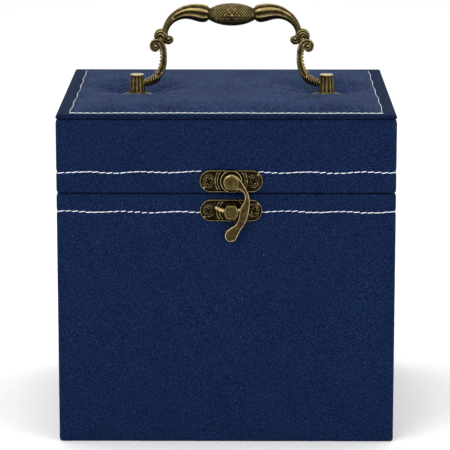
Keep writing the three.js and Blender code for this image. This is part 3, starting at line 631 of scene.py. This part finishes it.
def swell(x, y, z, held):
    """Lets the cloth inside the sewing swell and wrinkle, by a cloth simulation larger than life."""
    rows, columns = x.shape
    scale = SWELL_SCALE * MM
    points = np.stack([x, y, z], axis=2).reshape(-1, 3) * scale
    mesh = bpy.data.meshes.new("swelling")
    mesh.from_pydata(points.tolist(), [], grid_faces(rows, columns))
    cloth_object = new_object("swelling", mesh)
    group = cloth_object.vertex_groups.new(name="held")
    group.add([int(i) for i in np.flatnonzero(held.reshape(-1))], 1.0, "REPLACE")
    modifier = cloth_object.modifiers.new("Cloth", "CLOTH")
    for key, value in CLOTH.items():
        setattr(modifier.settings, key, value)
    modifier.settings.effector_weights.gravity = 0
    modifier.collision_settings.use_collision = False
    scene = bpy.context.scene
    for number in range(1, SWELL_FRAMES + 1):
        scene.frame_set(number)
    made = cloth_object.evaluated_get(bpy.context.evaluated_depsgraph_get()).to_mesh()
    out = np.zeros(len(made.vertices) * 3)
    made.vertices.foreach_get("co", out)
    scene.frame_set(1)
    bpy.data.objects.remove(cloth_object)
    return out.reshape(rows, columns, 3) / scale


def panel_surface():
    """The grid of the panel's top, swollen and pulled down round the posts."""
    x, y, edge, sewn, post = sewn_grid()
    z = panel_start(edge, sewn, post)
    held = (sewn < 0.6) | (post < ROSETTE_R + 0.6)
    soft = swell(x, y, z, held)
    lift = np.clip(soft[:, :, 2] - z, -0.6, None)
    lift = np.where(lift > 0, SWELL_CAP * np.tanh(lift / SWELL_CAP), lift)
    lift *= np.clip((post - ROSETTE_R) / WELL_WIDTH, 0, 1) ** 0.6 * np.clip(sewn / 18, 0, 1) ** 0.8
    x, y = np.clip(soft[:, :, 0], x - 0.8, x + 0.8), np.clip(soft[:, :, 1], y - 0.8, y + 0.8)
    z = z + np.where(held, 0, lift)
    return x, y, z + np.where(held, 0, pulled_folds(x, y, post))


def panel_skirt(points, rows, columns):
    """The panel's side, from its edge down to the lid and in under it."""
    rim = list(range(columns)) + [r * columns + columns - 1 for r in range(1, rows)]
    rim += [(rows - 1) * columns + c for c in range(columns - 2, -1, -1)]
    rim += [r * columns for r in range(rows - 2, 0, -1)]
    edge = [points[i] for i in rim]
    rings = [edge]
    for drop, inward in ((0.35, 0.0), (0.6, 0.1), (0.85, 0.45), (1.05, 1.3), (1.15, 3.0)):
        rings.append([(x - copysign(inward, x), y - copysign(inward, y), max(z - drop, PANEL_BASE))
                      for x, y, z in edge])
    return loft(rings)


def build_panel():
    x, y, z = panel_surface()
    rows, columns = x.shape
    points = [(x[r, c], y[r, c], z[r, c]) for r in range(rows) for c in range(columns)]
    parts = [(points, grid_faces(rows, columns)), panel_skirt(points, rows, columns)]
    panel = mesh_object("lid_panel", parts, PANEL, "lid", ["lid_top_pad"])
    panel.data.materials.append(SHADED_BORDER)
    # Faces between the panel's edge and its stitch line take the darker velvet: painted shade.
    for face in panel.data.polygons:
        x, y, _ = face.center / MM
        if min(PANEL_X - abs(x) - SIDE_EXTRA, PANEL_Y - abs(y)) < STITCH_IN:
            face.material_index = 1


def build_panel_stitching():
    z = PANEL_FLAT - 0.16
    side_z, back_z = z - 0.2, z - 0.3  # drawn tighter down the sides and along the back
    x, y = PANEL_X - STITCH_IN - SIDE_EXTRA, PANEL_Y - STITCH_IN
    up = (0, 0, 1)
    runs = stitch_run((-x, -y, z), (x, -y, z), up, (0, 1, 0), 21)
    runs += stitch_run((x, -y, side_z), (x, y, side_z), up, (1, 0, 0), 22,
                       radius=SIDE_THREAD_R, unsteady=0.9)
    runs += stitch_run((x, y, back_z), (-x, y, back_z), up, (0, 1, 0), 23, radius=BACK_THREAD_R)
    runs += stitch_run((-x, y, side_z), (-x, -y, side_z), up, (1, 0, 0), 24,
                       radius=SIDE_THREAD_R, unsteady=0.9)
    mesh_object("lid_panel_stitching", runs, THREAD, "lid")


# ---- Handle ----
# Each side of the bail: x outwards from the handle's middle, z over its pivot line, radius.
BAIL_LOWER = [(40.3, 0, 1.45), (38.2, 0.5, 1.7), (36.3, 1.4, 1.85), (34.6, 2.8, 1.75), (33.2, 4.6, 1.65),
              (32.1, 7, 1.6), (31.5, 10, 1.5), (31.4, 13, 1.4), (31.7, 15.6, 1.45), (32.5, 17.9, 1.45),
              (34, 19.3, 1.35), (35.8, 19.2, 1.2), (37, 17.8, 1.1), (36.8, 16.1, 1), (35.5, 15.3, 0.9),
              (34.3, 16, 0.8), (34.2, 17.2, 0.75), (35.2, 17.6, 0.7)]
BAIL_UPPER = [(29.4, 21.4, 0.7), (28.3, 21.1, 0.75), (27.8, 20, 0.85), (28.9, 18.9, 0.95),
              (30.4, 19.3, 1.1), (31.1, 21, 1.3), (31, 23.2, 1.45), (30.5, 25.4, 1.5), (29.3, 27.8, 1.7),
              (27.3, 30.1, 2.05), (24.7, 31.8, 2.45), (21.8, 32.9, 2.95), (18.9, 33.2, 3.45),
              (16.2, 33, 3.85), (13.9, 32.6, 4), (12.2, 32.3, 3.8), (11, 32.1, 3.2), (10.3, 32, 2.3),
              (10, 32, 1.2)]
BAIL_LEAF = [(30.4, 19.4, 0.9), (30.9, 21.2, 1.7), (32, 22.9, 2.1), (33.4, 23.2, 1.9), (34.6, 22.2, 1.45),
             (35.2, 20.9, 0.8), (35.1, 20.2, 0.3)]
BAIL_PIN = [(40, 0, 1.2), (43.1, 0, 1.2)]
# Balls of the ornament: x, z, radii, rings, sides.
BAIL_BALLS = [(32.2, 20.3, (1.9, 1.25, 1.9), 10, 16), (35.3, 17.2, (1.15, 1.1, 1.15), 8, 12),
              (29.4, 20.6, (1, 1.05, 1), 8, 12)]
BEADS = 9
GRIP_HALF = 10.9
GRIP_END_R = 2.2
GRIP_BULGE = 2.85
GRIP_Z = PIVOT_Z + 31.9


def build_post(side, sign):
    """A fluted, tapering post with a polished cap, on its rosette washer."""
    low, high = span(f"handle_post_{side}")
    x, top, foot = HARDWARE_X + sign * POST_X, high[2], low[2]

    def place(u, v, h):
        return x + u, v, h

    def flutes(angle, h):
        return 1 - 0.085 * (0.5 - 0.5 * cos(12 * angle)) * min(1, (top - h) / 0.8, (h - foot) / 0.6)

    def rays(angle, _):
        return 1 + 0.02 * cos(20 * angle)

    shaft = [(3.6, foot - 0.3), (3.95, foot), (4.0, foot + 0.3)]
    shaft += [(3.95 - 0.85 * t, foot + 0.5 + (top - foot - 1.1) * t) for t in np.linspace(0, 1, 10)]
    shaft += [(3.12, top - 0.3), (3.02, top - 0.1)]
    cap = [(2.9, top - 0.35), (3.0, top - 0.12), (2.85, top - 0.02), (2.0, top), (0.4, top)]
    low, high = span(f"handle_rosette_{side}")
    base, face = low[2], high[2]
    disc = [(6.2, base), (6.75, base + 0.2), (6.7, base + 0.5), (6.2, base + 0.72), (5.6, base + 0.6),
            (5.1, base + 0.75), (4.5, face), (3.9, face)]
    bronze_piece(f"handle_post_body_{side}", [turned(shaft, 96, place, flutes)], CAST, "lid",
                 [f"handle_post_{side}"])
    bronze_piece(f"handle_post_cap_{side}", [turned(cap, 48, place)], POLISHED, "lid")
    bronze_piece(f"handle_rosette_disc_{side}", [turned(disc, 80, place, rays)], PLATE, "lid",
                 [f"handle_rosette_{side}"])


def on_side(sign, stations):
    return [(HARDWARE_X + sign * x, PIVOT_Z + z, r) for x, z, r in stations]


def bead_row(stations, sign):
    """A row of beads down the outer side of a bar."""
    line = smooth_line(stations, 400)
    made = []
    for i in range(BEADS):
        at = int(400 * (0.215 + 0.28 * i / (BEADS - 1)))
        lean = line[at + 4, :2] - line[at, :2]
        lean /= np.linalg.norm(lean)
        out = np.array([lean[1], -lean[0]]) * sign
        x, z = line[at, :2] + out * line[at, 2]
        made.append(ball((x, 0, z), (0.6, 0.7, 0.6), 10, 12))
    return made


def bail_half(sign):
    """One side of the bail: a roped and ridged scroll, a fluted arm with its scroll, a leaf and balls."""
    def rope(t, a):
        twisted = unit((0.2 - t) / 0.03)
        ridged = unit((t - 0.18) / 0.04)
        return 1 + 0.18 * twisted * cos(7 * a + sign * 175 * t) - 0.2 * ridged * cos(4 * a)

    def flutes(t, a):
        strength = 0.115 * unit((t - 0.42) / 0.16) * unit((0.97 - t) / 0.07)
        return 1 + strength * (cos(7 * a + 0.6 * pi) - 0.3)

    def veins(t, a):
        return 1 + 0.13 * (cos(9 * a) - 0.3) * min(1.0, 4 * t, 5 * (1 - t))

    lower = on_side(sign, BAIL_LOWER)
    parts = [bar(lower, 320, 48, rope), bar(on_side(sign, BAIL_UPPER), 170, 42, flutes, depth=0.94)]
    parts += bead_row(lower, sign)
    parts.append(bar(on_side(sign, BAIL_LEAF), 60, 54, veins, depth=0.95))
    parts += [ball((HARDWARE_X + sign * x, 0, PIVOT_Z + z), radii, rings, sides)
              for x, z, radii, rings, sides in BAIL_BALLS]
    return parts


def grip_relief(x, angle, r):
    """How far the grip's ornament stands off its spindle: a flower, front and back, on pebbled ground."""
    arc = ((angle + pi / 2) % pi - pi / 2) * r
    reach = hypot(x, arc)
    turn = atan2(arc, x)
    petals = 1.5 + 2.3 * abs(cos(3 * turn)) ** 0.8
    inside = 1 / (1 + exp((reach - petals) / 0.10))
    flower = inside * (0.12 + 0.16 * cos(6 * turn) * min(1, reach / 1.5))
    vein = 0.22 * exp(-((reach - petals + 0.35) / 0.22) ** 2)
    bead = 0.55 * exp(-((reach / 0.75) ** 4))
    dots = max(0.0, cos(22 * angle) * cos(TURN * x / 1.25)) ** 0.8
    pebble = 0.30 * dots * (1 - inside) * min(1, (r - GRIP_END_R) / 0.8)
    return (pebble + flower + vein + bead) * unit((r - GRIP_END_R - 1) / 0.8)


def grip():
    """The spindle grip, swollen in the middle and closed at both ends."""
    sides, rings = 150, 120
    made = []
    for i in range(rings + 1):
        t = i / rings
        x = -GRIP_HALF + 2 * GRIP_HALF * t
        r = GRIP_END_R + GRIP_BULGE * max(sin(pi * t), 0) ** 0.72
        ring = []
        for angle in angles(sides):
            reach = r + grip_relief(x, angle, r)
            ring.append((HARDWARE_X + x, reach * -cos(angle), GRIP_Z + reach * sin(angle)))
        made.append(ring)
    return solid(made)


def build_bail():
    parts = [grip()] + bail_half(-1) + bail_half(1)
    parts += [bar(on_side(sign, BAIL_PIN), 4, 14) for sign in (-1, 1)]
    bronze_piece("bail", parts, CAST, "handle", ["handle_bail"])


# ---- Latch ----
PLATE_BACK = -HALF_Y - 0.05
PLATE_FRONT = PLATE_BACK - 1.2
PLATE_R = 4.95
HOOK_PLATE_LENGTH = 28
KEEPER_LENGTH = 27.6
HOOK_PLATE_SCREW_X = 10
KEEPER_SCREW_X = 10.2
SCREW_R = 2.3
SCREW_DOME = 0.62
OUTLINE_STEP = 0.2
LOOP_HALF = 3.55
LOOP_HALF_WIDTH = 3.1
HOOK_BACK = float(span("latch_hook")[1][1])
HOOK_FRONT = float(span("latch_hook")[0][1])
HOOK_THICK = HOOK_BACK - HOOK_FRONT
HOOK_OUTLINE = [(0.8, 3.5), (2.9, 2.5), (4.7, 0.3), (6.5, -2.7), (7.75, -5.6), (8.2, -8.6), (7.95, -11.9),
                (7.1, -16), (5.6, -19.2), (4, -21.6), (2.9, -23.9), (2, -25.6), (0.5, -26.5), (-1.4, -26.3),
                (-2.6, -25), (-2.8, -23.5), (-2.2, -21.9), (-0.6, -20.5), (1.6, -19.1), (3, -16.9),
                (3.5, -14.3), (3.85, -12), (4.2, -10.9), (5.4, -9.1), (6, -7.2), (5.8, -5.3), (4.7, -3.8),
                (2.9, -3), (0.5, -2.5), (-1.5, 0.5)]
HOOK_EYE_R = 3.5
# Rims of the hook and its eye: way in from the outline, way behind the hook's face.
HOOK_RIM = [(0, HOOK_THICK), (0, 0.6), (0.06, 0.3), (0.15, 0.08), (0.26, 0), (0.36, 0.02), (0.48, 0.12),
            (0.58, 0.15)]
EYE_RIM = [(0, HOOK_THICK), (0, 0.7), (0.12, 0.3), (0.35, 0.05), (0.7, 0), (1.0, 0)]
# The horn's curve about the rivet: angle in degrees, radius.
HORN = [(-60, 0.9), (-72, 0.95), (-84, 0.98), (-96, 1), (-108, 0.98), (-116, 0.92), (-121, 0.7),
        (-123, 0.3)]
RIVET_HEAD = [(2.6, -0.2), (3, 0), (3.08, 0.25), (3.05, 0.5), (2.93, 0.72), (2.7, 0.88), (2.3, 1),
              (1.7, 1.1), (0.9, 1.17), (0.2, 1.2)]


def stadium(length, r):
    """Points round a slot-shaped outline and the way in from each, towards its middle line."""
    end = length / 2 - r
    flats = round(2 * end / OUTLINE_STEP)
    arcs = round(pi * r / OUTLINE_STEP)
    half = [(-end + 2 * end * i / flats, -r, 0, 1) for i in range(flats)]
    half += [(end + r * sin(a), -r * cos(a), -sin(a), cos(a)) for a in angles(2 * arcs)[:arcs]]
    return half + [(-u, -v, -du, -dv) for u, v, du, dv in half]


def ring_bump(value, centre, width):
    return exp(-((value - centre) / width) ** 2)


def cast_plate(length, z, relief):
    """A cast plate on the front: relief(u, v, depth in from the edge) is its height over the cloth."""
    rows = stadium(length, PLATE_R)
    rings = [[(HARDWARE_X + u, PLATE_BACK, z + v) for u, v, _, _ in rows]]
    inner = np.arange(1.05, PLATE_R - 0.12, 0.15)
    for depth in (0, 0.08, 0.18, 0.3, 0.42, 0.56, 0.72, 0.9, *inner, PLATE_R):
        rings.append([(HARDWARE_X + u + du * depth,
                       PLATE_BACK - relief(u + du * depth, v + dv * depth, depth),
                       z + v + dv * depth) for u, v, du, dv in rows])
    return loft(rings)


def plate_face(u, v, depth, screw_x, circles):
    """A plate's height with its rim, its two screw seats and raised circles (radius, height)."""
    edge = min(1.0, 0.55 + depth / 0.25 * 0.45)
    height = edge * (0.95 + 0.32 * ring_bump(depth, 0.3, 0.15)) - 0.14 * (depth > 0.5)
    for sign in (-1, 1):
        reach = hypot(u - sign * screw_x, v)
        seat = 0.09 * ring_bump(reach, 2.75, 0.2) * unit((depth - 0.9) / 0.5)
        height += seat - 0.22 / (1 + exp((reach - 2.6) / 0.08))
    for at, tall in circles:
        height += tall * ring_bump(hypot(u, v), at, 0.2) * unit((depth - 0.9) / 0.3)
    return height


def hook_plate_relief(u, v, depth):
    height = plate_face(u, v, depth, HOOK_PLATE_SCREW_X, ((6.1, 0.26), (7.1, 0.24)))
    reach = hypot(u, v)
    boss = 1 / (1 + exp((reach - 5.0) / 0.12))
    return height + boss * 0.75 + 0.28 * ring_bump(reach, 4.7, 0.22) * (depth > 0.1)


def keeper_relief(u, v, depth):
    return plate_face(u, v, depth, KEEPER_SCREW_X, ((5.3, 0.24), (6.5, 0.24)))


def cross_screw(node, x, seat_y, z, r, dome, facing):
    """A domed cross-recess screw head. facing is -1 for the front and 1 for the back."""
    turn = random.Random(node).uniform(0.2, 1.2)
    sides, last = 64, 29
    rings = []
    for i in range(last + 1):
        t = i / last
        reach = r * (1 - t) if t > 0.12 else r * (1 - 0.25 * t)
        rise = dome * (1 - (reach / r) ** 2) ** 0.5 if reach < r else 0
        ring = []
        for angle in angles(sides):
            u, v = reach * cos(angle + turn), reach * sin(angle + turn)
            slot = min(abs(u), abs(v)) < 0.19 * r and max(abs(u), abs(v)) < r * 0.72
            height = rise - (0.45 * r if slot else 0)
            ring.append((x + reach * cos(angle), seat_y + facing * height, z + reach * sin(angle)))
        rings.append(ring)
    bronze_piece(f"{node}_head", [loft(rings, cap_end=True)], PLATE, BODIES[node], [node])


def build_latch():
    hook_plate = cast_plate(HOOK_PLATE_LENGTH, LATCH_Z, hook_plate_relief)
    keeper = cast_plate(KEEPER_LENGTH, KEEPER_Z, keeper_relief)
    bronze_piece("hook_plate_cast", [hook_plate], PLATE, "lid", ["hook_plate"])
    bronze_piece("keeper_cast", [keeper], PLATE, "body", ["keeper"])
    bronze_piece("keeper_loop_cast", [keeper_loop()], CAST, "body")
    for side, sign in (("left", -1), ("right", 1)):
        for plate, z, screw_x in (("hook_plate", LATCH_Z, HOOK_PLATE_SCREW_X),
                                  ("keeper", KEEPER_Z, KEEPER_SCREW_X)):
            cross_screw(f"{plate}_screw_{side}", HARDWARE_X + sign * screw_x, PLATE_FRONT, z, SCREW_R,
                        SCREW_DOME, -1)
    build_hook()


def squarer(value, power):
    """A cosine or sine pushed towards 1 or -1, which squares off a round section."""
    return copysign(abs(value) ** power, value)


def keeper_loop():
    """The arch of the keeper that the horn passes through: a rounded band, its path in the YZ plane."""
    front = float(span("keeper")[0][1])
    side = [(PLATE_BACK - 0.5, 2.95), (PLATE_FRONT - 1.6, 2.95), (front + 1.4, 2.85), (front + 0.55, 2.3)]
    path = smooth_line(side + [(front + 0.5, 0)] + [(y, -v) for y, v in side[::-1]], 90)
    along = unit_rows(np.gradient(path, axis=0))
    rings = []
    for i, (y, v) in enumerate(path):
        out = np.array([along[i, 1], -along[i, 0]])
        bulge = (1 - abs(v / LOOP_HALF) ** 2.3) ** 0.6
        ring = []
        for angle in angles(36):
            across = squarer(cos(angle), 0.5)
            rim = 0.16 * max(ring_bump(abs(across), 0.84, 0.1), ring_bump(abs(v), 2.5, 0.3))
            thick = (0.48 + rim) * squarer(sin(angle), 0.45)
            ring.append((HARDWARE_X + LOOP_HALF_WIDTH * bulge * across, y + out[0] * thick,
                         KEEPER_Z + v + out[1] * thick))
        rings.append(ring)
    return solid(rings)


def outline_inset(points, depth):
    """A closed outline moved inwards by depth along its normals, for an outline that runs clockwise."""
    along = unit_rows(np.roll(points, -1, axis=0) - np.roll(points, 1, axis=0))
    return points + depth * np.stack([along[:, 1], -along[:, 0]], axis=1)


def plaque(outline, rim):
    """A cast shape in the hook's plane, with a raised rim."""
    rings = []
    for inset, behind in rim:
        moved = outline_inset(outline, inset) if inset else outline
        y = HOOK_BACK - (HOOK_THICK - behind)
        rings.append([(HARDWARE_X + u, y, LATCH_Z + v) for u, v in moved])
    return solid(rings)


def build_hook():
    """The swinging hook: its arm, the eye round the rivet and the horn that enters the keeper's loop."""
    arm = smooth_line([*HOOK_OUTLINE, HOOK_OUTLINE[0]], 220)[:-1]
    eye = np.array([(HOOK_EYE_R * cos(a), -HOOK_EYE_R * sin(a)) for a in angles(90)])
    reach = LATCH_Z - KEEPER_Z
    horn = [(HARDWARE_X + reach * cos(radians(a)), LATCH_Z + reach * sin(radians(a)), r)
            for a, r in HORN]
    horn_y = (HOOK_BACK + HOOK_FRONT) / 2 + 0.2
    parts = [plaque(arm, HOOK_RIM), plaque(eye, EYE_RIM), bar(horn, 50, 14, middle_y=horn_y)]
    bronze_piece("hook_cast", parts, WORN, "hook", ["latch_hook"])

    def place(u, v, h):
        return HARDWARE_X + u, HOOK_FRONT + 0.15 - h, LATCH_Z + v

    head = turned(smooth_line(RIVET_HEAD, 30), 64, place)
    bronze_piece("hook_rivet_head", [head], CAST, "lid", ["hook_rivet"])


# ---- Inside and back ----
LEAF_FACE = 70.95  # y of the hinge leaves' outer face
LINING_X = HALF_X - 5.65
LINING_Y = HALF_Y - 5.65
LINING_CORNER = 1.2


def refined(node, material, bevel, segments=2, name=None):
    """A CAD node's shape with merged faces and rounded edges, in place of the node."""
    mesh = frame["nodes"][node].data.copy()
    piece = new_object(name or f"{node}_piece", mesh)
    mesh.materials.clear()
    mesh.materials.append(material)
    add_modifier(piece, "flats", "DECIMATE", decimate_type="DISSOLVE", angle_limit=radians(1))
    add_modifier(piece, "edges", "BEVEL", width=bevel * MM, segments=segments, limit_method="ANGLE",
                 angle_limit=radians(35), use_clamp_overlap=True)
    add_modifier(piece, "normals", "WEIGHTED_NORMAL")
    mesh.shade_smooth()
    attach(piece, BODIES[node])
    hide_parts(node)
    return piece


def build_metal_details():
    for node in frame["nodes"]:
        if node.startswith("hinge_") and "screw" not in node:
            refined(node, ROLLED, 0.18)
        elif node.startswith("hinge_"):
            low, high = span(node)
            x, _, z = middle(node)
            cross_screw(node, x, LEAF_FACE, z, (high[0] - low[0]) / 2, high[1] - LEAF_FACE, 1)
        elif node.startswith("handle_screw"):
            refined(node, ROLLED, 0.08)
        elif "_arm_" in node or "_link_" in node or "bracket" in node:
            refined(node, STEEL, 0.12)


def shell_inside(floor_z, rim_z, seed):
    """The glued lining of a box: a floor or a ceiling and four walls, as one skin facing inwards."""
    rings = []
    for inward in (60, 40, 20, 8, 3, 1.2):
        rings.append([(x, y, floor_z + 0.1 * unevenness(x, y, 0, 20, seed))
                      for x, y in rectangle(LINING_X - inward, LINING_Y - inward, LINING_CORNER)])
    walls = rectangle(LINING_X, LINING_Y, LINING_CORNER)
    for z in np.linspace(floor_z, rim_z, 22):
        rings.append([(x + 0.2 * unevenness(x, y, z, 22, seed), y + 0.2 * unevenness(y, x, z, 22, seed), z)
                      for x, y in walls])
    rings.append([(x, y, rim_z) for x, y in rectangle(LINING_X + 0.7, LINING_Y + 0.7, LINING_CORNER)])
    return loft(rings, cap_start=True)


def build_linings():
    for body, seed in (("body", 12.0), ("lid", 17.0)):
        low, high = span(f"{body}_lining")
        floor_z, rim_z = (low[2] + 0.8, high[2]) if body == "body" else (high[2] - 0.8, low[2])
        mesh_object(f"{body}_lining_cloth", [shell_inside(floor_z, rim_z, seed)], LINING, body,
                    [f"{body}_lining"], inwards=True)


def rounded_slab(half_x, half_y, low, high, crown, corner, seed):
    """A soft slab with rounded edges and a crowned top, as rings from its underside to its middle."""
    rings = []
    for inward, z in ((3.0, low), (0.8, low + 0.1), (0.1, low + 0.8), (0, (low + high) / 2),
                      (0.1, high - 1.4), (0.5, high - 0.6), (1.2, high - 0.1), (2.2, high + 0.1)):
        outline = rectangle(half_x - inward, half_y - inward, max(corner - inward, 0.8))
        rings.append([(x, y, z) for x, y in outline])
    for inward in (4, 7, 11, 16, 22, 30, 38, 46, 54, 60):
        rise = crown * sin(min(inward / 40, 1) * pi / 2)
        rings.append([(x, y, high + 0.1 + rise + 0.5 * unevenness(x, y, 0, 18, seed))
                      for x, y in rectangle(half_x - inward, half_y - inward, 0.8)])
    return solid(rings)


def build_base_pad():
    low, high = span("base_pad")
    slab = rounded_slab(high[0], high[1], low[2], high[2] - 1.6, 1.4, 4, 5.0)
    pad = mesh_object("base_cushion", [slab], LINING, "body", ["base_pad"])


def ring_roll(low, high, seed):
    """A foam roll covered in velvet: round on top, with tucked ends and soft folds."""
    middle_y = (low[1] + high[1]) / 2
    half, base, top = (high[1] - low[1]) / 2, low[2], high[2]
    rings = []
    for t in np.linspace(0, 1, 90):
        x = low[0] + 0.1 + (high[0] - low[0] - 0.2) * t
        end = unit(min(x - low[0], high[0] - x) / 3.2)
        tuck = sqrt(max(0.0, 1 - (1 - end) ** 2))
        shrink = 0.80 + 0.20 * tuck
        ring = []
        for k in range(28):
            angle = pi * k / 27
            fold = 0.16 * unevenness(x, middle_y, 10 * angle, 7, seed)
            r = (half - 0.05 + min(fold, 0.05)) * shrink
            z = top - half * shrink + r * sin(angle) - 2.5 * (1 - tuck)
            ring.append((x, middle_y + r * cos(angle), z))
        ring += [(x, middle_y - half * shrink, base), (x, middle_y + half * shrink, base)]
        rings.append(ring)
    return solid(rings)


def build_ring_rolls():
    for i in range(1, 6):
        low, high = span(f"ring_roll_{i}")
        roll = mesh_object(f"ring_roll_soft_{i}", [ring_roll(low, high, i)], LINING, "tray",
                           [f"ring_roll_{i}"])


def build_tray():
    """The tray's velvet shell, with a stitch line round its outside near the top."""
    refined("tray_box", LINING, 0.7, 3, "tray_shell")
    low, high = span("tray_box")
    runs = []
    z = high[2] - 4.5
    corners = [(low[0], low[1], z), (high[0], low[1], z), (high[0], high[1], z), (low[0], high[1], z)]
    outward = [(0, -1, 0), (1, 0, 0), (0, 1, 0), (-1, 0, 0)]
    for i, out in enumerate(outward):
        start, end = np.array(corners[i]), np.array(corners[(i + 1) % 4])
        along = (end - start) / np.linalg.norm(end - start)
        runs += stitch_run(start + along, end - along, out, (0, 0, 1), 31 + i, radius=0.2)
    mesh_object("tray_stitching", runs, THREAD, "tray")


def cover_node(node, material):
    """Gives a CAD node its material, with its shape left as it is."""
    mesh = frame["nodes"][node].data
    mesh.materials.clear()
    mesh.materials.append(material)


def build_mirror():
    cover_node("mirror", MIRROR)
    refined("mirror_frame", LINING, 0.8, 3, "mirror_surround")


def build_boards():
    for node in ("body_frame", "body_bottom_board", "lid_frame", "lid_top_board"):
        cover_node(node, BOARD)
    refined("base_sheet", OUTER, 0.2, 2, "base_cover")


# ---- Stage ----
FLOOR_HALF = 6000
FLOOR_Z = -0.02
# From here on in metres: each light's name, position, size, and power in watts.
LIGHTS = [("key", (-0.55, -0.9, 0.95), (0.7, 0.7), 5), ("fill", (0.8, -0.8, 0.5), (0.6, 0.8), 2.5),
          ("top", (0, 0.25, 1.1), (0.9, 0.6), 3)]
LIGHT_TARGET = (0, 0, 0.09)
CAMERA_PLACE = (0.0060, -1.1712, 0.3283)
CAMERA_PITCH = 11.74  # degrees below level
CAMERA_YAW = 0.34
CAMERA_SENSOR = 36
CAMERA_LENS = 203.6


def build_stage():
    half, z = FLOOR_HALF * MM, FLOOR_Z * MM
    corners = [(x, y, z) for x in (-half, half) for y in (-half, half)]
    mesh = bpy.data.meshes.new("floor")
    mesh.from_pydata(corners, [], [(0, 2, 3, 1)])
    mesh.materials.append(floor_material())
    new_object("floor", mesh)


def area_light(name, position, size, power):
    data = bpy.data.lights.new(name, "AREA")
    data.shape = "RECTANGLE"
    data.size, data.size_y = size
    data.energy = power
    lamp = new_object(name, data)
    lamp.location = position
    lamp.rotation_euler = (Vector(LIGHT_TARGET) - Vector(position)).to_track_quat("-Z", "Y").to_euler()


def build_light():
    """A white surround and three soft lamps."""
    world = bpy.data.worlds.new("studio")
    bpy.context.scene.world = world
    world.use_nodes = True
    background = world.node_tree.nodes["Background"]
    background.inputs["Color"].default_value = (1, 1, 1, 1)
    background.inputs["Strength"].default_value = 1.0
    for name, position, size, power in LIGHTS:
        area_light(name, position, size, power)


def build_camera():
    """Looks down on the front from a little over a metre away, a little to the right."""
    data = bpy.data.cameras.new("camera")
    data.sensor_width = CAMERA_SENSOR
    data.lens = CAMERA_LENS
    camera = new_object("camera", data)
    camera.location = CAMERA_PLACE
    camera.rotation_euler = (pi / 2 - radians(CAMERA_PITCH), 0, radians(CAMERA_YAW))
    bpy.context.scene.camera = camera


def main():
    build_body_cover()
    build_lid_cover()
    build_wall_stitching("body_stitching", BODY_STITCH_Z, "body", 1)
    build_wall_stitching("lid_stitching", LID_STITCH_Z, "lid", 5)
    build_panel()
    build_panel_stitching()
    build_post("left", -1)
    build_post("right", 1)
    build_bail()
    build_latch()
    build_metal_details()
    build_linings()
    build_base_pad()
    build_ring_rolls()
    build_tray()
    build_mirror()
    build_boards()
    build_stage()
    build_light()
    build_camera()
    bpy.context.scene.view_settings.view_transform = "Standard"


main()
